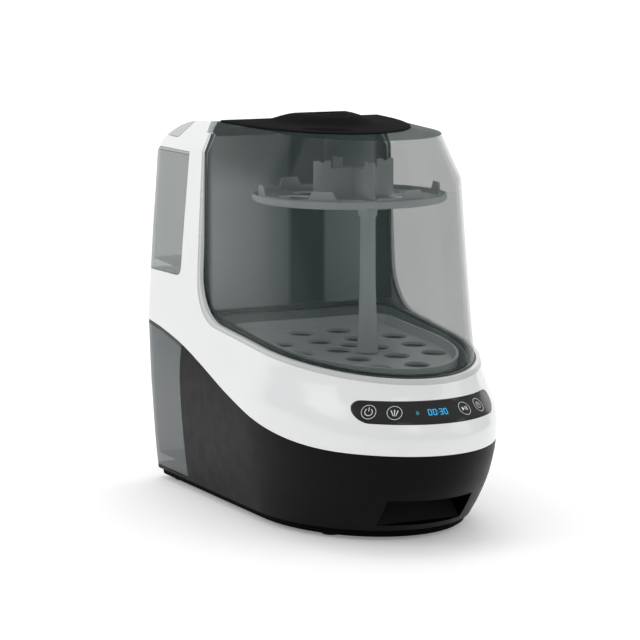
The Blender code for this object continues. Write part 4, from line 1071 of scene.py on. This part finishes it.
def dress_cad_nodes():
    """Better materials for the CAD nodes that stay."""
    for name, mat in CARRIED.items():
        for slot in NODES[name].material_slots:
            slot.material = mat
    for tag in ("front_left", "front_right", "rear_left", "rear_right"):
        for slot in NODES["foot_" + tag].material_slots:
            slot.material = RUBBER


# ---------------------------------------------------------------- studio
CAMERA_PLACE = (-1.306, -2.566, 0.639)
CAMERA_PITCH = 8.51
CAMERA_YAW = 26.5
CAMERA_LENS = 149.46


def make_studio():
    mat, node = new_material("studio_floor", (0.93, 0.93, 0.93), 0.9)
    mat.node_tree.links.new(ramp(mat, noise(mat, 3.0), (0.92,) * 3, (0.94,) * 3), node.inputs["Base Color"])
    node.inputs["Emission Color"].default_value = (1.0, 1.0, 1.0, 1.0)
    node.inputs["Emission Strength"].default_value = 0.22
    floor = to_mesh("floor", [(-9000, -9000, 0), (9000, -9000, 0), (9000, 9000, 0), (-9000, 9000, 0)],
                    [(0, 1, 2, 3)])
    paint(floor, mat)
    screen_mat, screen_node = new_material("studio_screen", (0.9, 0.9, 0.9), 0.9)
    screen_mat.node_tree.links.new(ramp(screen_mat, noise(screen_mat, 2.0), (0.28,) * 3, (0.3,) * 3),
                                   screen_node.inputs["Base Color"])
    screen_node.inputs["Emission Color"].default_value = (1.0, 1.0, 1.0, 1.0)
    screen_node.inputs["Emission Strength"].default_value = 0.9
    screen = to_mesh("screen", [(-3500, 3600, 1), (6500, 2400, 1), (6500, 2400, 3200), (-3500, 3600, 3200)],
                     [(0, 1, 2, 3)])
    paint(screen, screen_mat)
    world = bpy.data.worlds.new("studio")
    bpy.context.scene.world = world
    world.use_nodes = True
    tree = world.node_tree
    parts = tree.nodes.new("ShaderNodeSeparateXYZ")
    tree.links.new(tree.nodes.new("ShaderNodeTexCoord").outputs["Generated"], parts.inputs[0])
    sky = tree.nodes.new("ShaderNodeValToRGB")
    sky.color_ramp.elements[0].position = 0.0
    sky.color_ramp.elements[0].color = (0.42, 0.42, 0.42, 1.0)
    sky.color_ramp.elements[1].position = 0.8
    sky.color_ramp.elements[1].color = (1.0, 1.0, 1.0, 1.0)
    tree.links.new(parts.outputs["Z"], sky.inputs["Fac"])
    tree.links.new(sky.outputs["Color"], tree.nodes["Background"].inputs["Color"])
    tree.nodes["Background"].inputs["Strength"].default_value = 0.72
    lamps = (("key", (-2.6, 0.4, 1.9), 1.6, 13.0), ("fill", (2.4, -1.8, 1.4), 1.8, 9.0),
             ("top", (0.3, 0.6, 2.8), 1.8, 16.0), ("front", (-0.9, -2.6, 2.4), 1.2, 5.0))
    for name, spot, size, power in lamps:
        light = bpy.data.lights.new(name, "AREA")
        light.shape = "SQUARE"
        light.size = size
        light.energy = power
        lamp = bpy.data.objects.new(name, light)
        lamp.location = spot
        aim = Vector((0.0, 0.0, 0.2)) - Vector(spot)
        lamp.rotation_euler = aim.to_track_quat("-Z", "Y").to_euler()
        bpy.context.scene.collection.objects.link(lamp)


def make_camera():
    data = bpy.data.cameras.new("camera")
    data.lens = CAMERA_LENS
    data.sensor_width = 36.0
    camera = bpy.data.objects.new("camera", data)
    camera.location = CAMERA_PLACE
    camera.rotation_euler = (math.radians(90.0 - CAMERA_PITCH), 0.0, math.radians(-CAMERA_YAW))
    bpy.context.scene.collection.objects.link(camera)
    bpy.context.scene.camera = camera


make_clean_tank()
make_waste_tank()
make_strip()
make_tub()
make_rack()
make_tray()
dress_cad_nodes()
make_studio()
make_camera()
bpy.context.scene.view_settings.view_transform = "Standard"
